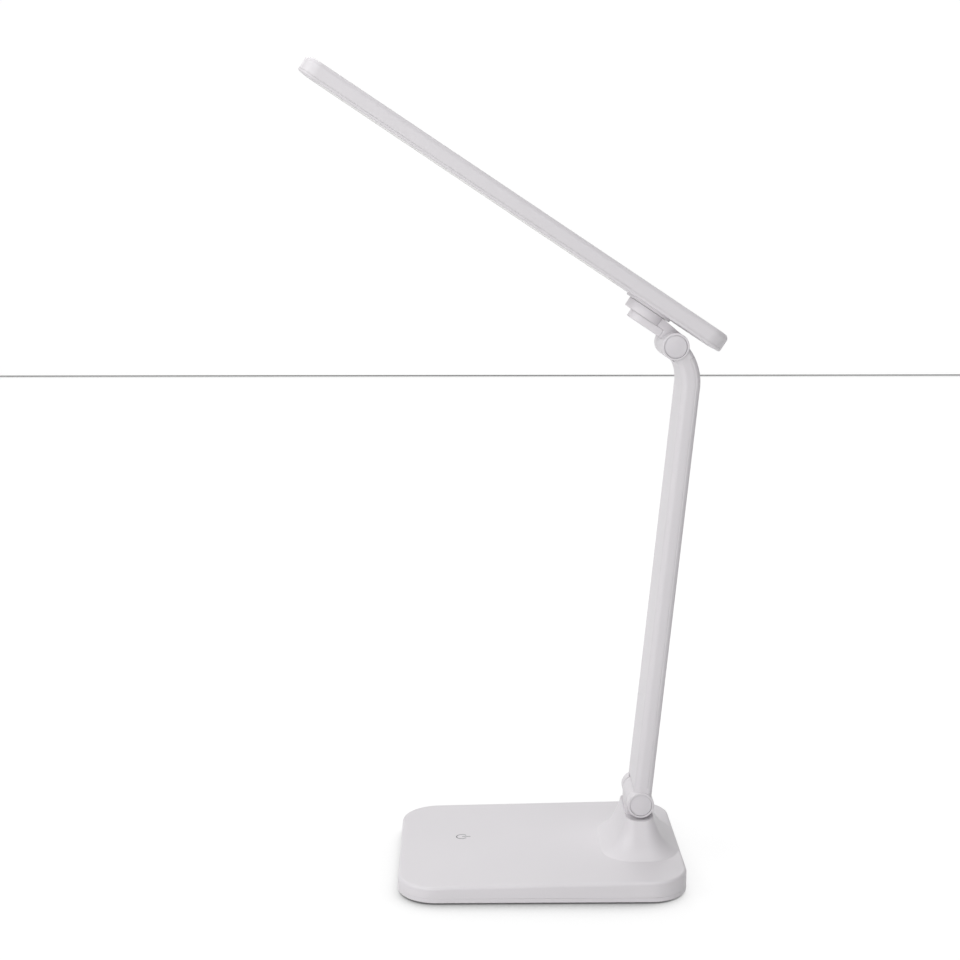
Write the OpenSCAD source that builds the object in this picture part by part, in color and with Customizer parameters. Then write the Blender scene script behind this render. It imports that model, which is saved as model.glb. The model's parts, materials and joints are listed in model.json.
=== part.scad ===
/* [Base] */
// Length of the base from front to rear
base_l = 150; // [140:1:180]
// Width of the base across the lamp
base_w = 116; // [100:1:140]
// Corner radius of the base seen from above
base_corner_r = 20; // [14:1:26]
// Height of the base top at the front edge
front_h = 8.9; // [8.6:0.1:11]
// Height of the base top at the rear edge
rear_h = 11.8; // [11:0.1:15]
// Radius of the rounding along the top edge of the base
edge_r = 1.6; // [0.8:0.1:2]
// Wall thickness of the base top shell
base_wall = 1.8; // [1.4:0.1:2.2]
// Thickness of the bottom plate
plate_t = 2.4; // [1.8:0.1:2.8]
// Thickness of the non-slip pad
pad_t = 1.4; // [1:0.1:1.8]
// How far the pad stands below the bottom plate
pad_proud = 0.8; // [0.5:0.1:1]
// Distance of the pad from the edge of the base
pad_inset = 6; // [4:0.5:10]
// Distance of the housing screws from the edge of the base
screw_inset = 12; // [11.5:0.25:13]

/* [Base contents] */
// Length of the steel ballast plate
ballast_l = 50; // [30:1:56]
// Width of the steel ballast plate
ballast_w = 92; // [60:1:94]
// Thickness of the steel ballast plate
ballast_t = 2.8; // [2:0.1:2.9]
// Length of the battery cell
battery_l = 34; // [25:1:38]
// Width of the battery cell
battery_w = 46; // [30:1:50]
// Thickness of the battery cell
battery_t = 3.2; // [2.5:0.1:3.6]
// Length of the control board
board_l = 26; // [22:1:28]
// Width of the control board
board_w = 44; // [36:1:50]
// Thickness of the control board
board_t = 1.2; // [1:0.1:1.6]
// Radius of the copper touch electrode
touch_r = 8; // [6:0.5:10]
// Place of the power symbol forward of the middle of the base
mark_forward = 41.7; // [30:0.5:50]
// Place of the power symbol across the base
mark_side = 9; // [0:0.5:14]
// Radius of the ring of the power symbol
mark_r = 2.9; // [2:0.1:4]
// Width of the line of the power symbol
mark_line = 0.55; // [0.4:0.05:0.8]

/* [Pedestal and lower hinge] */
// Distance of the hinge axis from the rear edge of the base
hinge_inset = 21.7; // [21.5:0.1:26]
// Height of the hinge axis above the table
hinge_z = 37; // [36:0.2:44]
// Half thickness of the pedestal below the hinge
pedestal_half = 7.4; // [7:0.1:8.4]
// How far the pedestal stands out beyond the end discs of the hinge
pedestal_ledge = 1.2; // [0.6:0.1:2]
// How far the foot of the pedestal flares out
foot_reach = 13.4; // [10:0.2:13.6]
// How gently the foot of the pedestal flares out
foot_soft = 11; // [8:1:20]
// Radius of the vertical corners of the pedestal
pedestal_corner = 4.5; // [3:0.5:5.5]
// How far the dish of the pedestal stays below the end discs
dish_gap = 1.2; // [0.8:0.1:2]
// Radius of the shallow dish in the pedestal
dish_r = 24; // [16:1:40]
// Width of the knuckle that the arm turns on
knuckle_w = 20; // [18:0.5:21]

/* [Hinges] */
// Radius of both hinge barrels
barrel_r = 7; // [6.4:0.1:7.2]
// Width of both hinges over their end discs
hinge_w = 35; // [34.5:0.1:36]
// Radius of the hinge bolts
bolt_r = 2; // [1.5:0.1:2.2]
// Radius of the heads of the hinge bolts
bolt_head_r = 3.5; // [3:0.1:3.8]
// Height of the heads of the hinge bolts
bolt_head_h = 2.2; // [1.6:0.1:2.6]
// Height of the hinge nuts
nut_h = 2.6; // [2:0.1:3]
// Thickness of the friction washers
washer_t = 0.5; // [0.3:0.1:0.8]
// Radius of the friction washers
washer_r = 5; // [4.2:0.1:5.6]
// Radius of the hinge cover caps
cap_r = 5.8; // [5:0.1:5.9]
// Thickness of the hinge cover caps
cap_t = 1.2; // [0.9:0.1:1.6]
// Rounding along the rims of the end discs
rim_r = 0.6; // [0.3:0.1:0.8]

/* [Arm] */
// Distance from the lower hinge to the upper hinge along the arm
arm_l = 243.4; // [200:0.1:280]
// How far the upper hinge stands forward of the lower hinge
arm_offset = 9.65; // [9.2:0.05:10]
// Lean of the arm towards the rear at rest
arm_lean = 5.5; // [0:0.1:10]
// Width of the arm
arm_w = 33; // [31:0.5:33.5]
// Distance from the hinge axis to the front face of the arm
arm_front = 4.2; // [3.8:0.1:4.6]
// Distance from the hinge axis to the rear face of the arm
arm_rear = 5.4; // [5.2:0.1:5.8]
// Wall thickness of the arm
arm_wall = 1.5; // [1.2:0.1:1.8]
// Thickness of the rear cover of the arm
cover_t = 2.9; // [2.5:0.1:3]
// Bevel along the rear edges of the arm
cover_bevel = 2.2; // [1.2:0.1:2.3]
// Radius of the rounding along the front edges of the arm
arm_edge_r = 3.2; // [2:0.1:3.4]
// Radius of the outside of the bend at the top of the arm
bend_r = 29; // [28:0.5:30]
// How far the upper hinge lies outside the middle line of the bend
bend_lift = 0.2; // [0:0.1:0.6]
// Width of the steel stiffener in the arm
core_w = 14; // [8:1:20]
// Thickness of the steel stiffener in the arm
core_t = 1.2; // [0.8:0.1:1.6]
// Width of the flat cable in the arm
ribbon_w = 5; // [3:0.5:8]
// Thickness of the flat cable
ribbon_t = 1; // [0.6:0.1:1.2]

/* [Neck] */
// Slope of the lamp head at rest
head_slope = 33.4; // [20:0.2:45]
// Width of the neck
neck_w = 14; // [13:0.5:15]
// Distance from the upper hinge axis to the swivel axis
swivel_reach = 20.8; // [20.6:0.1:22]
// Radius of the round collar of the neck
collar_r = 10.8; // [9.5:0.1:11.4]
// Height of the collar above the lower cover of the neck
collar_h = 4.9; // [4.6:0.1:5]
// Height of the parting line of the neck above the hinge axis
parting_h = 3.5; // [3.2:0.1:3.6]
// Depth of the lower cover of the neck
neck_cover_t = 4; // [3.4:0.1:4.2]
// Distance from the upper hinge axis to the front of the thick part of the neck
neck_front = 12.3; // [11.6:0.1:13]
// Radius of the hollow swivel stud
stud_r = 3.5; // [3:0.1:3.8]
// Radius of the cable bore in the swivel stud
stud_bore_r = 1.9; // [1.4:0.1:2.1]
// Radius of the flange of the swivel stud
stud_flange_r = 5.5; // [5:0.1:6]

/* [Lamp head] */
// Distance from the upper hinge to the tip of the head
head_front = 232.5; // [180:0.5:260]
// Distance from the upper hinge to the rear end of the head
head_rear = 20; // [16:0.5:21]
// Width of the head
head_w = 50; // [46:0.5:56]
// Thickness of the head
head_t = 9.2; // [8.8:0.1:10]
// Height of the underside of the head above the hinge axis
head_gap = 9.8; // [9.7:0.1:10.8]
// Corner radius of the head seen from above
head_corner_r = 10; // [8:0.5:14]
// Radius of the rounding along the top edge of the head
head_edge_r = 2.6; // [1.5:0.1:3]
// Bevel along the lower edge of the head
head_bevel = 1; // [0.5:0.1:1.2]
// Wall thickness of the top cover of the head
head_wall = 1.5; // [1.2:0.1:1.8]
// Thickness of the bottom frame of the head
frame_t = 1.6; // [1.4:0.1:2]
// Width of the frame beside the lit window
frame_rim = 5; // [4:0.5:7]
// Width of the frame at the tip, before the lit window
frame_tip = 9; // [8:0.5:12]
// Distance from the upper hinge to the lit window
window_back = 42; // [41:1:60]
// Radius of the swivel boss under the head
boss_r = 13.2; // [12.4:0.1:14]
// Thickness of the light guide plate
guide_t = 2.4; // [2:0.1:2.6]
// Number of light emitting diodes on each strip
led_count = 14; // [8:1:20]

/* [Hidden] */
$fn = 64;
// running clearance of the bolts and the stud in their bores
run_gap = 0.05;
// clearance of inner pieces that lie in a casing
fit_gap = 0.1;
// clearance between the faces of a joint
face_gap = 0.05;
// joint line between casings
seam_gap = 0.08;
overlap = 0.01;
far = 400;

plate_bottom = pad_proud;
shell_bottom = plate_bottom + plate_t;
base_slope = atan((rear_h - front_h) / base_l);
function top_at(x) = front_h + (rear_h - front_h) * (x + base_l / 2) / base_l;
function ceiling_at(x) = top_at(x) - base_wall;
hinge_x = base_l / 2 - hinge_inset;

// hinge stack, measured across the lamp from its middle
knuckle_side = knuckle_w / 2;
ear_inner = knuckle_side + washer_t + 2 * face_gap;
neck_side = neck_w / 2;
upper_ear_inner = neck_side + washer_t + 2 * face_gap;
disc_side = hinge_w / 2;
arm_side = arm_w / 2;
cap_inset = 0.15;
cap_seat = disc_side - cap_inset - cap_t;
head_seat = cap_seat - bolt_head_h - fit_gap;
nut_seat = cap_seat - nut_h - fit_gap;
dish_z = hinge_z - barrel_r - dish_gap;
pedestal_side = disc_side + pedestal_ledge;
slot_r = barrel_r + 1.9;

// arm, in its own frame: x rearward, z along the arm from the lower hinge
arm_t = arm_front + arm_rear;
bend_centre_x = arm_rear - bend_r;
hinge_from_bend = bend_r - arm_t / 2 + bend_lift;
bend_rise = sqrt(pow(hinge_from_bend, 2) - pow(-arm_offset - bend_centre_x, 2));
bend_z = arm_l - bend_rise;
bend_angle = atan2(bend_rise, -arm_offset - bend_centre_x);
cover_x = arm_rear - cover_t;
cover_start = 9.5;
cover_stop = bend_angle - 22;

// upper hinge in the frame of the lamp
upper_x = hinge_x - arm_offset * cos(arm_lean) + arm_l * sin(arm_lean);
upper_z = hinge_z + arm_offset * sin(arm_lean) + arm_l * cos(arm_lean);

// head, in its own frame: x rearward along the head, z towards its top, origin on the upper hinge
head_l = head_front + head_rear;
head_mid = (head_rear - head_front) / 2;
head_top = head_gap + head_t;
split_h = head_gap + frame_t;
collar_top = parting_h + collar_h;
boss_bottom = collar_top + fit_gap;
boss_t = head_gap - boss_bottom;
ceiling_h = head_top - head_wall;
window_l = head_front - window_back - frame_tip;
window_w = head_w - 2 * frame_rim;
window_mid = -(window_back + window_l / 2);
diffuser_lip = 1.2;
diffuser_t = 1;
diffuser_recess = 0.2;
guide_h = split_h + diffuser_t + fit_gap;
reflector_t = 0.3;
reflector_h = guide_h + guide_t + fit_gap;
guide_l = window_l + 2 * diffuser_lip;
guide_w = window_w + 2 * diffuser_lip;
led_t = 0.6;
led_side = guide_w / 2 + fit_gap;
strip_t = 1;
strip_side = led_side + led_t;
strip_end = 6;
strip_l = guide_l - 2 * strip_end;
strip_h = 2.8;
led_l = 2.8;
led_h = 1.6;
nut_ring_h = 1.6;
swivel_washer_t = 0.6;
swivel_nut_r = 6;
spigot_r = 6;
spigot_top = split_h + 0.6;

module at_arm() {
    translate([hinge_x, 0, hinge_z]) rotate([0, arm_lean, 0]) children();
}

module at_arm_top() {
    at_arm() translate([-arm_offset, 0, arm_l]) children();
}

module at_head() {
    translate([upper_x, 0, upper_z]) rotate([0, head_slope, 0]) children();
}

module at_swivel() {
    at_head() translate([-swivel_reach, 0, 0]) children();
}

// cylinder across the lamp, from one side position to another
module across(r, from, to) {
    translate([0, to, 0]) rotate([90, 0, 0]) cylinder(r = r, h = to - from);
}

module rounded_plate(l, w, r, h) {
    linear_extrude(h) rounded_rect(l, w, r);
}

module rounded_rect(l, w, r) {
    square([l - 2 * r, w], center = true);
    square([l, w - 2 * r], center = true);
    for (i = [-1, 1], j = [-1, 1])
        translate([i * (l / 2 - r), j * (w / 2 - r)]) circle(r);
}

// flat slab with rounded corners whose upper edge is rounded too
module soft_slab(l, w, r, edge, h) {
    hull() for (i = [-1, 1], j = [-1, 1])
        translate([i * (l / 2 - r), j * (w / 2 - r), 0]) {
            cylinder(r = r, h = overlap, $fn = 40);
            translate([0, 0, h - edge]) rotate_extrude($fn = 40)
                translate([r - edge, 0]) intersection() {
                    circle(edge, $fn = 16);
                    square(edge);
                }
        }
}

module above_top(drop = 0) {
    translate([-base_l / 2, 0, front_h - drop]) rotate([0, -base_slope, 0])
        translate([-far / 2, -far / 2, 0]) cube([far, far, far]);
}

// end disc across the lamp with a rounded outer rim, on the +Y or the -Y side
module end_disc(r, inner, outer, edge, side) {
    rotate([-90 * side, 0, 0]) rotate_extrude() {
        translate([0, inner]) square([r, outer - inner - edge]);
        translate([0, inner]) square([r - edge, outer - inner]);
        translate([r - edge, outer - edge]) circle(edge, $fn = 24);
    }
}

module screw(r, l, head_r, head_h) {
    difference() {
        union() {
            cylinder(r = head_r, h = head_h, $fn = 32);
            cylinder(r = r, h = head_h + l, $fn = 32);
        }
        for (a = [0, 90]) rotate(a)
            translate([-head_r * 0.6, -0.2, -overlap]) cube([head_r * 1.2, 0.4, head_h * 0.55]);
    }
}

module base_corner_places(inset) {
    for (i = [-1, 1], j = [-1, 1])
        translate([i * (base_l / 2 - inset), j * (base_w / 2 - inset), 0]) children();
}

// section of the flared foot: how far it stands out at a height above the base top
foot_h = dish_z + dish_r - sqrt(pow(dish_r, 2) - pow(pedestal_half, 2)) - top_at(hinge_x);
function foot_out(z) = foot_reach * (1 / (z + foot_soft) - 1 / (foot_h + foot_soft))
    / (1 / foot_soft - 1 / (foot_h + foot_soft));
foot_steps = 14;
foot_sink = 1.5;
foot_heights = [for (i = [0:foot_steps]) foot_h * pow(i / foot_steps, 1.3)];

module foot_section(half) {
    polygon(concat(
        [[-half - foot_reach, -foot_sink], [half + foot_reach, -foot_sink]],
        [for (z = foot_heights) [half + foot_out(z), z]],
        [for (i = [foot_steps:-1:0]) [-half - foot_out(foot_heights[i]), foot_heights[i]]]));
}

module foot_corner() {
    rotate_extrude() polygon(concat(
        [[0, -foot_sink], [pedestal_corner + foot_reach, -foot_sink]],
        [for (z = foot_heights) [pedestal_corner + foot_out(z), z]],
        [[0, foot_h]]));
}

module pedestal_foot() {
    straight_x = pedestal_half - pedestal_corner;
    straight_y = pedestal_side - pedestal_corner;
    intersection() {
        translate([hinge_x, 0, top_at(hinge_x)]) rotate([0, -base_slope, 0]) {
            rotate([90, 0, 0]) linear_extrude(2 * straight_y, center = true) foot_section(pedestal_half);
            rotate([90, 0, 90]) linear_extrude(2 * straight_x, center = true) foot_section(pedestal_side);
            for (i = [-1, 1], j = [-1, 1]) translate([i * straight_x, j * straight_y, 0]) foot_corner();
        }
        translate([0, 0, shell_bottom + edge_r])
            rounded_plate(base_l - edge_r, base_w - edge_r, base_corner_r - edge_r / 2, hinge_z);
    }
}

module base_outside() {
    hull() for (i = [-1, 1], j = [-1, 1]) {
        x = i * (base_l / 2 - base_corner_r);
        translate([x, j * (base_w / 2 - base_corner_r), 0]) {
            translate([0, 0, shell_bottom + seam_gap]) cylinder(r = base_corner_r, h = overlap, $fn = 48);
            translate([0, 0, top_at(x)]) rotate([0, -base_slope, 0]) translate([0, 0, -edge_r])
                rotate_extrude($fn = 48) translate([base_corner_r - edge_r, 0]) intersection() {
                    circle(edge_r, $fn = 16);
                    square(edge_r);
                }
        }
    }
}

module base_cavity() {
    difference() {
        translate([0, 0, shell_bottom - 1]) rounded_plate(base_l - 2 * base_wall,
            base_w - 2 * base_wall, base_corner_r - base_wall, rear_h);
        above_top(base_wall);
    }
}

module mark_shape(grow = 0) {
    difference() {
        circle(mark_r + mark_line / 2 + grow);
        circle(mark_r - mark_line / 2 - grow);
        polygon([[0, 0], [3 * mark_r, 2.1 * mark_r], [3 * mark_r, -2.1 * mark_r]]);
    }
    translate([mark_r * 0.05 - grow, -mark_line / 2 - grow])
        square([mark_r * 1.6 + 2 * grow, mark_line + 2 * grow]);
}

mark_depth = 0.3;
mark_gap = 0.02;
module at_mark(drop = 0) {
    translate([-mark_forward, mark_side, top_at(-mark_forward)]) rotate([0, -base_slope, 0])
        translate([0, 0, -drop]) children();
}

// rounded opening that runs along the length of the lamp
module port(w, h, l) {
    rotate([90, 0, 90]) linear_extrude(l) {
        square([w - h, h], center = true);
        for (j = [-1, 1]) translate([j * (w - h) / 2, 0]) circle(h / 2);
    }
}

post_inset = 2.5;
board_post_r = 1.8;
board_z = shell_bottom + 0.8;
board_top = board_z + board_t;
board_rear = base_l / 2 - base_wall - 0.6;
board_x = board_rear - board_l / 2;
inlet_w = 8.9;
inlet_h = 3.2;
inlet_l = 7.4;
inlet_wall = 0.35;
inlet_gap = 0.25;
tongue_w = 6.6;
tongue_t = 0.7;
inlet_z = board_top + inlet_h / 2 + 0.05;
housing_screw_r = 1.2;
housing_screw_l = 4.2;
housing_boss_r = 3;
housing_head_r = 2.2;
housing_head_h = 1;
pad_seat = pad_t - plate_bottom + overlap;
housing_screw_z = pad_t + fit_gap;
pedestal_wall = 2.4;
hollow_top = dish_z - 1.8;
shaft_w = 14;
shaft_l = 6;
shaft_top = hinge_z - barrel_r - 0.4;

// room for the cable, wide inside the pedestal and narrow in the knuckle
module pedestal_hollow() {
    translate([hinge_x, 0, shell_bottom]) {
        rounded_plate(2 * (pedestal_half - pedestal_wall), 2 * (pedestal_side - pedestal_wall),
            2, hollow_top - shell_bottom);
        rounded_plate(shaft_l, shaft_w, 2, shaft_top - shell_bottom);
    }
}

module base_top_shell() {
    color([0.93, 0.93, 0.92]) difference() {
        union() {
            difference() {
                union() {
                    base_outside();
                    pedestal_foot();
                }
                base_cavity();
            }
            intersection() {
                base_corner_places(screw_inset)
                    translate([0, 0, shell_bottom + seam_gap]) cylinder(r = housing_boss_r, h = rear_h);
                difference() {
                    translate([0, 0, shell_bottom]) cube([base_l, base_w, 2 * rear_h], center = true);
                    above_top(base_wall / 2);
                }
            }
            translate([hinge_x, 0, hinge_z]) across(barrel_r, -knuckle_side, knuckle_side);
            translate([hinge_x - barrel_r, -knuckle_side, dish_z - 1])
                cube([2 * barrel_r, knuckle_w, hinge_z - dish_z + 1]);
        }
        translate([hinge_x, 0, hinge_z]) across(bolt_r + run_gap, -far / 2, far / 2);
        translate([hinge_x, 0, dish_z + dish_r]) {
            across(dish_r, knuckle_side, far / 2);
            across(dish_r, -far / 2, -knuckle_side);
        }
        pedestal_hollow();
        base_corner_places(screw_inset) cylinder(r = housing_screw_r + fit_gap / 2,
            h = housing_screw_z + housing_head_h + housing_screw_l + fit_gap);
        at_mark(mark_depth + overlap) linear_extrude(1) mark_shape(mark_gap);
        translate([base_l / 2 - base_wall - 1, 0, inlet_z])
            port(inlet_w + 2 * inlet_gap, inlet_h + 2 * inlet_gap, base_wall + 2);
    }
}

module base_bottom_plate() {
    edge = 0.6;
    color([0.9, 0.9, 0.89]) {
        difference() {
            union() {
                translate([0, 0, plate_bottom]) rounded_plate(base_l - 2 * edge,
                    base_w - 2 * edge, base_corner_r - edge, edge);
                translate([0, 0, plate_bottom + edge]) rounded_plate(base_l, base_w,
                    base_corner_r, plate_t - edge);
            }
            translate([0, 0, plate_bottom - overlap]) rounded_plate(base_l - 2 * pad_inset + 2 * fit_gap,
                base_w - 2 * pad_inset + 2 * fit_gap, base_corner_r - pad_inset + fit_gap, pad_seat);
            base_corner_places(screw_inset) {
                translate([0, 0, -1]) cylinder(r = housing_screw_r + fit_gap, h = 2 * shell_bottom);
                translate([0, 0, plate_bottom])
                    cylinder(r = housing_head_r + fit_gap,
                        h = housing_screw_z + housing_head_h - plate_bottom);
            }
            ballast_places() translate([0, 0, shell_bottom - ballast_grip])
                cylinder(r = ballast_screw_r + fit_gap / 2, h = ballast_grip + 1);
        }
        for (i = [-1, 1], j = [-1, 1])
            translate([board_x + i * (board_l / 2 - post_inset), j * (board_w / 2 - post_inset),
                shell_bottom - overlap]) cylinder(r = board_post_r, h = board_z - shell_bottom);
    }
}

module non_slip_pad() {
    color([0.25, 0.25, 0.26]) rounded_plate(base_l - 2 * pad_inset, base_w - 2 * pad_inset,
        base_corner_r - pad_inset, pad_t);
}

module base_screws() {
    color("silver") base_corner_places(screw_inset)
        translate([0, 0, housing_screw_z])
            screw(housing_screw_r, housing_screw_l, housing_head_r, housing_head_h);
}

module power_mark() {
    color([0.45, 0.46, 0.48]) at_mark(mark_depth) linear_extrude(mark_depth) mark_shape();
}

touch_t = 0.2;
touch_wire_r = 0.5;
touch_wire_z = ceiling_at(-mark_forward) - 2 * touch_t - touch_wire_r - fit_gap;
board_contact = 4;
// lead that runs rearward from a point and turns down onto the board
module lead_to_board(from_x, y, z, r) {
    end_x = board_x - board_l / 2 + board_contact;
    translate([from_x, y, z]) rotate([0, 90, 0]) cylinder(r = r, h = end_x - from_x, $fn = 24);
    translate([end_x, y, z]) sphere(r, $fn = 24);
    translate([end_x, y, board_top + fit_gap]) cylinder(r = r, h = z - board_top - fit_gap, $fn = 24);
}

module touch_electrode() {
    color([0.8, 0.5, 0.3]) at_mark(base_wall + touch_t + 0.03) cylinder(r = touch_r, h = touch_t);
}

module touch_wire() {
    color([0.7, 0.1, 0.1]) lead_to_board(-mark_forward, mark_side, touch_wire_z, touch_wire_r);
}

ballast_x = 12;
ballast_screw_inset = 8;
ballast_z = shell_bottom + fit_gap;
ballast_screw_r = 1;
ballast_head_h = 0.8;
ballast_grip = 1.4;
module ballast_places() {
    for (i = [-1, 1]) translate([ballast_x, i * (ballast_w / 2 - ballast_screw_inset), 0]) children();
}

module ballast_plate() {
    color([0.55, 0.56, 0.58]) difference() {
        translate([ballast_x, 0, ballast_z]) rounded_plate(ballast_l, ballast_w, 3, ballast_t);
        ballast_places() translate([0, 0, ballast_z - 1])
            cylinder(r = ballast_screw_r + fit_gap, h = ballast_t + 2);
    }
}

module ballast_screws() {
    top = ballast_z + ballast_t + face_gap + ballast_head_h;
    color("silver") ballast_places() translate([0, 0, top]) rotate([180, 0, 0])
        screw(ballast_screw_r, top - ballast_head_h - shell_bottom + ballast_grip - fit_gap,
            2 * ballast_screw_r, ballast_head_h);
}

battery_space = 3;
battery_shift = 2;
battery_x = ballast_x - ballast_l / 2 - battery_l / 2 - battery_space;
battery_y = -battery_w / 2 - battery_shift;
battery_z = shell_bottom + fit_gap;
module battery_cell() {
    color([0.6, 0.62, 0.66]) translate([battery_x, battery_y, battery_z])
        rounded_plate(battery_l, battery_w, 2, battery_t);
}

battery_lead_r = 0.5;
module battery_lead() {
    color([0.15, 0.15, 0.16]) lead_to_board(battery_x + battery_l / 2 - 4, battery_y / 2,
        battery_z + battery_t + battery_lead_r + fit_gap, battery_lead_r);
}

charger_chip = 6;
touch_chip = 4.5;
coil_r = 2.5;
module control_board() {
    color([0.1, 0.35, 0.2]) {
        translate([board_x, 0, board_z + 0.02]) rounded_plate(board_l, board_w, 1.5, board_t);
        translate([board_x - board_l / 2 + charger_chip, -board_w / 2 + charger_chip, board_top])
            cube([charger_chip, charger_chip, 1.6]);
        translate([board_x - touch_chip / 2, -board_w / 2 + 3 * touch_chip, board_top])
            cube([touch_chip, touch_chip, 1.2]);
        translate([board_x, board_w / 2 - 4 * coil_r, board_top]) cylinder(r = coil_r, h = 3);
    }
}

module power_inlet() {
    color("silver") translate([base_l / 2 - inlet_l - 0.2, 0, inlet_z]) {
        difference() {
            port(inlet_w, inlet_h, inlet_l);
            translate([1, 0, 0]) port(inlet_w - 2 * inlet_wall, inlet_h - 2 * inlet_wall, inlet_l);
        }
        translate([0.5, -tongue_w / 2, -tongue_t / 2]) cube([inlet_l - 1.5, tongue_w, tongue_t]);
    }
}

base_cable_r = 1.2;
module base_cable() {
    color([0.85, 0.85, 0.85]) translate([hinge_x, 0, board_top + 0.1])
        cylinder(r = base_cable_r, h = shaft_top - board_top - 1, $fn = 24);
}

// section of the arm across its length, with rounded front edges
module arm_section(front, rear, half, r) {
    translate([front + r, -half]) square([rear - front - r, 2 * half]);
    translate([front, -half + r]) square([rear - front, 2 * (half - r)]);
    for (j = [-1, 1]) translate([front + r, j * (half - r)]) circle(r, $fn = 32);
}

// run of a section along the straight of the arm and round its bend
module arm_run(from, angle) {
    translate([0, 0, from]) linear_extrude(bend_z - from) children();
    translate([bend_centre_x, 0, bend_z]) rotate([90, 0, 0])
        rotate_extrude(angle = angle, $fn = 128) translate([-bend_centre_x, 0]) children();
}

module both_ears(inner) {
    for (side = [-1, 1]) end_disc(barrel_r, inner, disc_side, rim_r, side);
}

// pockets for the caps, the bolt head and the nut in a pair of ears
module ear_pockets() {
    across(bolt_r + run_gap, -disc_side - 1, disc_side + 1);
    across(cap_r + fit_gap, cap_seat - face_gap, disc_side + 1);
    across(cap_r + fit_gap, -disc_side - 1, -cap_seat + face_gap);
    across(bolt_head_r + fit_gap, -disc_side - 1, -head_seat);
    translate([0, disc_side + 1, 0]) rotate([90, 0, 0])
        cylinder(r = nut_r + fit_gap, h = disc_side + 1 - nut_seat, $fn = 6);
}

nut_r = 3.7;
arm_screw_r = 0.9;
arm_screw_l = 4;
arm_screw_head_r = 1.8;
arm_screw_head_h = 0.8;
arm_post_r = 2.2;
cavity_start = slot_r + 2;
cavity_stop = bend_angle - 26;
arm_screw_side = arm_side - 5;
arm_screw_low = 32;
arm_screw_high = 42;
arm_screw_heights = [arm_screw_low, arm_l / 2, arm_l - arm_screw_high];
module arm_screw_places() {
    for (z = arm_screw_heights, j = [-1, 1]) translate([0, j * arm_screw_side, z]) children();
}

module arm_front_shell() {
    color([0.93, 0.93, 0.92]) at_arm() difference() {
        union() {
            difference() {
                union() {
                    arm_run(0, bend_angle) arm_section(-arm_front, arm_rear, arm_side, arm_edge_r);
                    both_ears(ear_inner);
                    translate([-arm_offset, 0, arm_l]) both_ears(upper_ear_inner);
                }
                arm_run(cavity_start, cavity_stop)
                    translate([-arm_front + arm_wall, -arm_side + arm_wall])
                        square([far, 2 * (arm_side - arm_wall)]);
                arm_run(cover_start, cover_stop) translate([cover_x, -far / 2]) square([far, far]);
            }
            arm_screw_places() translate([-arm_front + arm_wall / 2, 0, 0])
                rotate([0, 90, 0]) cylinder(r = arm_post_r, h = cover_x + arm_front - arm_wall / 2);
        }
        across(slot_r, -ear_inner, ear_inner);
        translate([-arm_offset, 0, arm_l]) across(slot_r, -upper_ear_inner, upper_ear_inner);
        ear_pockets();
        translate([-arm_offset, 0, arm_l]) ear_pockets();
        arm_screw_places() translate([arm_rear - arm_screw_head_h - arm_screw_l - 2 * fit_gap, 0, 0])
            rotate([0, 90, 0]) cylinder(r = arm_screw_r + fit_gap / 2, h = far);
    }
}

module arm_rear_cover() {
    inner = cover_x + seam_gap;
    color([0.91, 0.91, 0.9]) at_arm() difference() {
        arm_run(cover_start + seam_gap, cover_stop - 0.3) polygon([
            [inner, -arm_side], [inner, arm_side],
            [arm_rear - cover_bevel, arm_side], [arm_rear, arm_side - cover_bevel],
            [arm_rear, -arm_side + cover_bevel], [arm_rear - cover_bevel, -arm_side]]);
        arm_screw_places() rotate([0, 90, 0]) {
            cylinder(r = arm_screw_r + fit_gap, h = far);
            translate([0, 0, arm_rear - arm_screw_head_h - fit_gap])
                cylinder(r = arm_screw_head_r + fit_gap, h = far);
        }
    }
}

module arm_screws() {
    color("silver") at_arm() arm_screw_places() translate([arm_rear - face_gap, 0, 0])
        rotate([0, -90, 0]) screw(arm_screw_r, arm_screw_l, arm_screw_head_r, arm_screw_head_h);
}

module arm_core() {
    margin = 3;
    color([0.6, 0.61, 0.63]) at_arm()
        translate([-arm_front + arm_wall + fit_gap, -core_w / 2, cavity_start + margin])
            cube([core_t, core_w, bend_z - cavity_start - 2 * margin]);
}

module arm_ribbon() {
    behind = -arm_front + arm_wall + core_t + 3 * fit_gap;
    color([0.8, 0.8, 0.8]) at_arm() arm_run(cavity_start + 0.5, cavity_stop - 2)
        translate([behind, -ribbon_w / 2]) square([ribbon_t, ribbon_w]);
}

socket_r = 1.6;
socket_depth = 1.2;
module hinge_bolt() {
    color("silver") difference() {
        union() {
            across(bolt_head_r, -cap_seat + fit_gap, -head_seat - fit_gap / 2);
            across(bolt_r, -cap_seat + fit_gap, cap_seat - fit_gap);
        }
        translate([0, -cap_seat + fit_gap + socket_depth, 0]) rotate([90, 0, 0])
            cylinder(r = socket_r, h = far, $fn = 6);
    }
}

module hinge_nut() {
    color("silver") difference() {
        translate([0, nut_seat + nut_h + fit_gap / 2, 0]) rotate([90, 0, 0])
            cylinder(r = nut_r, h = nut_h, $fn = 6);
        across(bolt_r + run_gap, -disc_side, disc_side);
    }
}

module friction_washers(side) {
    color([0.75, 0.72, 0.6]) for (from = [side + face_gap, -side - face_gap - washer_t])
        difference() {
            across(washer_r, from, from + washer_t);
            across(bolt_r + run_gap, -far / 2, far / 2);
        }
}

cap_edge_r = 0.3;
module hinge_caps() {
    color([0.91, 0.91, 0.92]) for (side = [-1, 1])
        end_disc(cap_r, cap_seat, disc_side - cap_inset, cap_edge_r, side);
}

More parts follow.
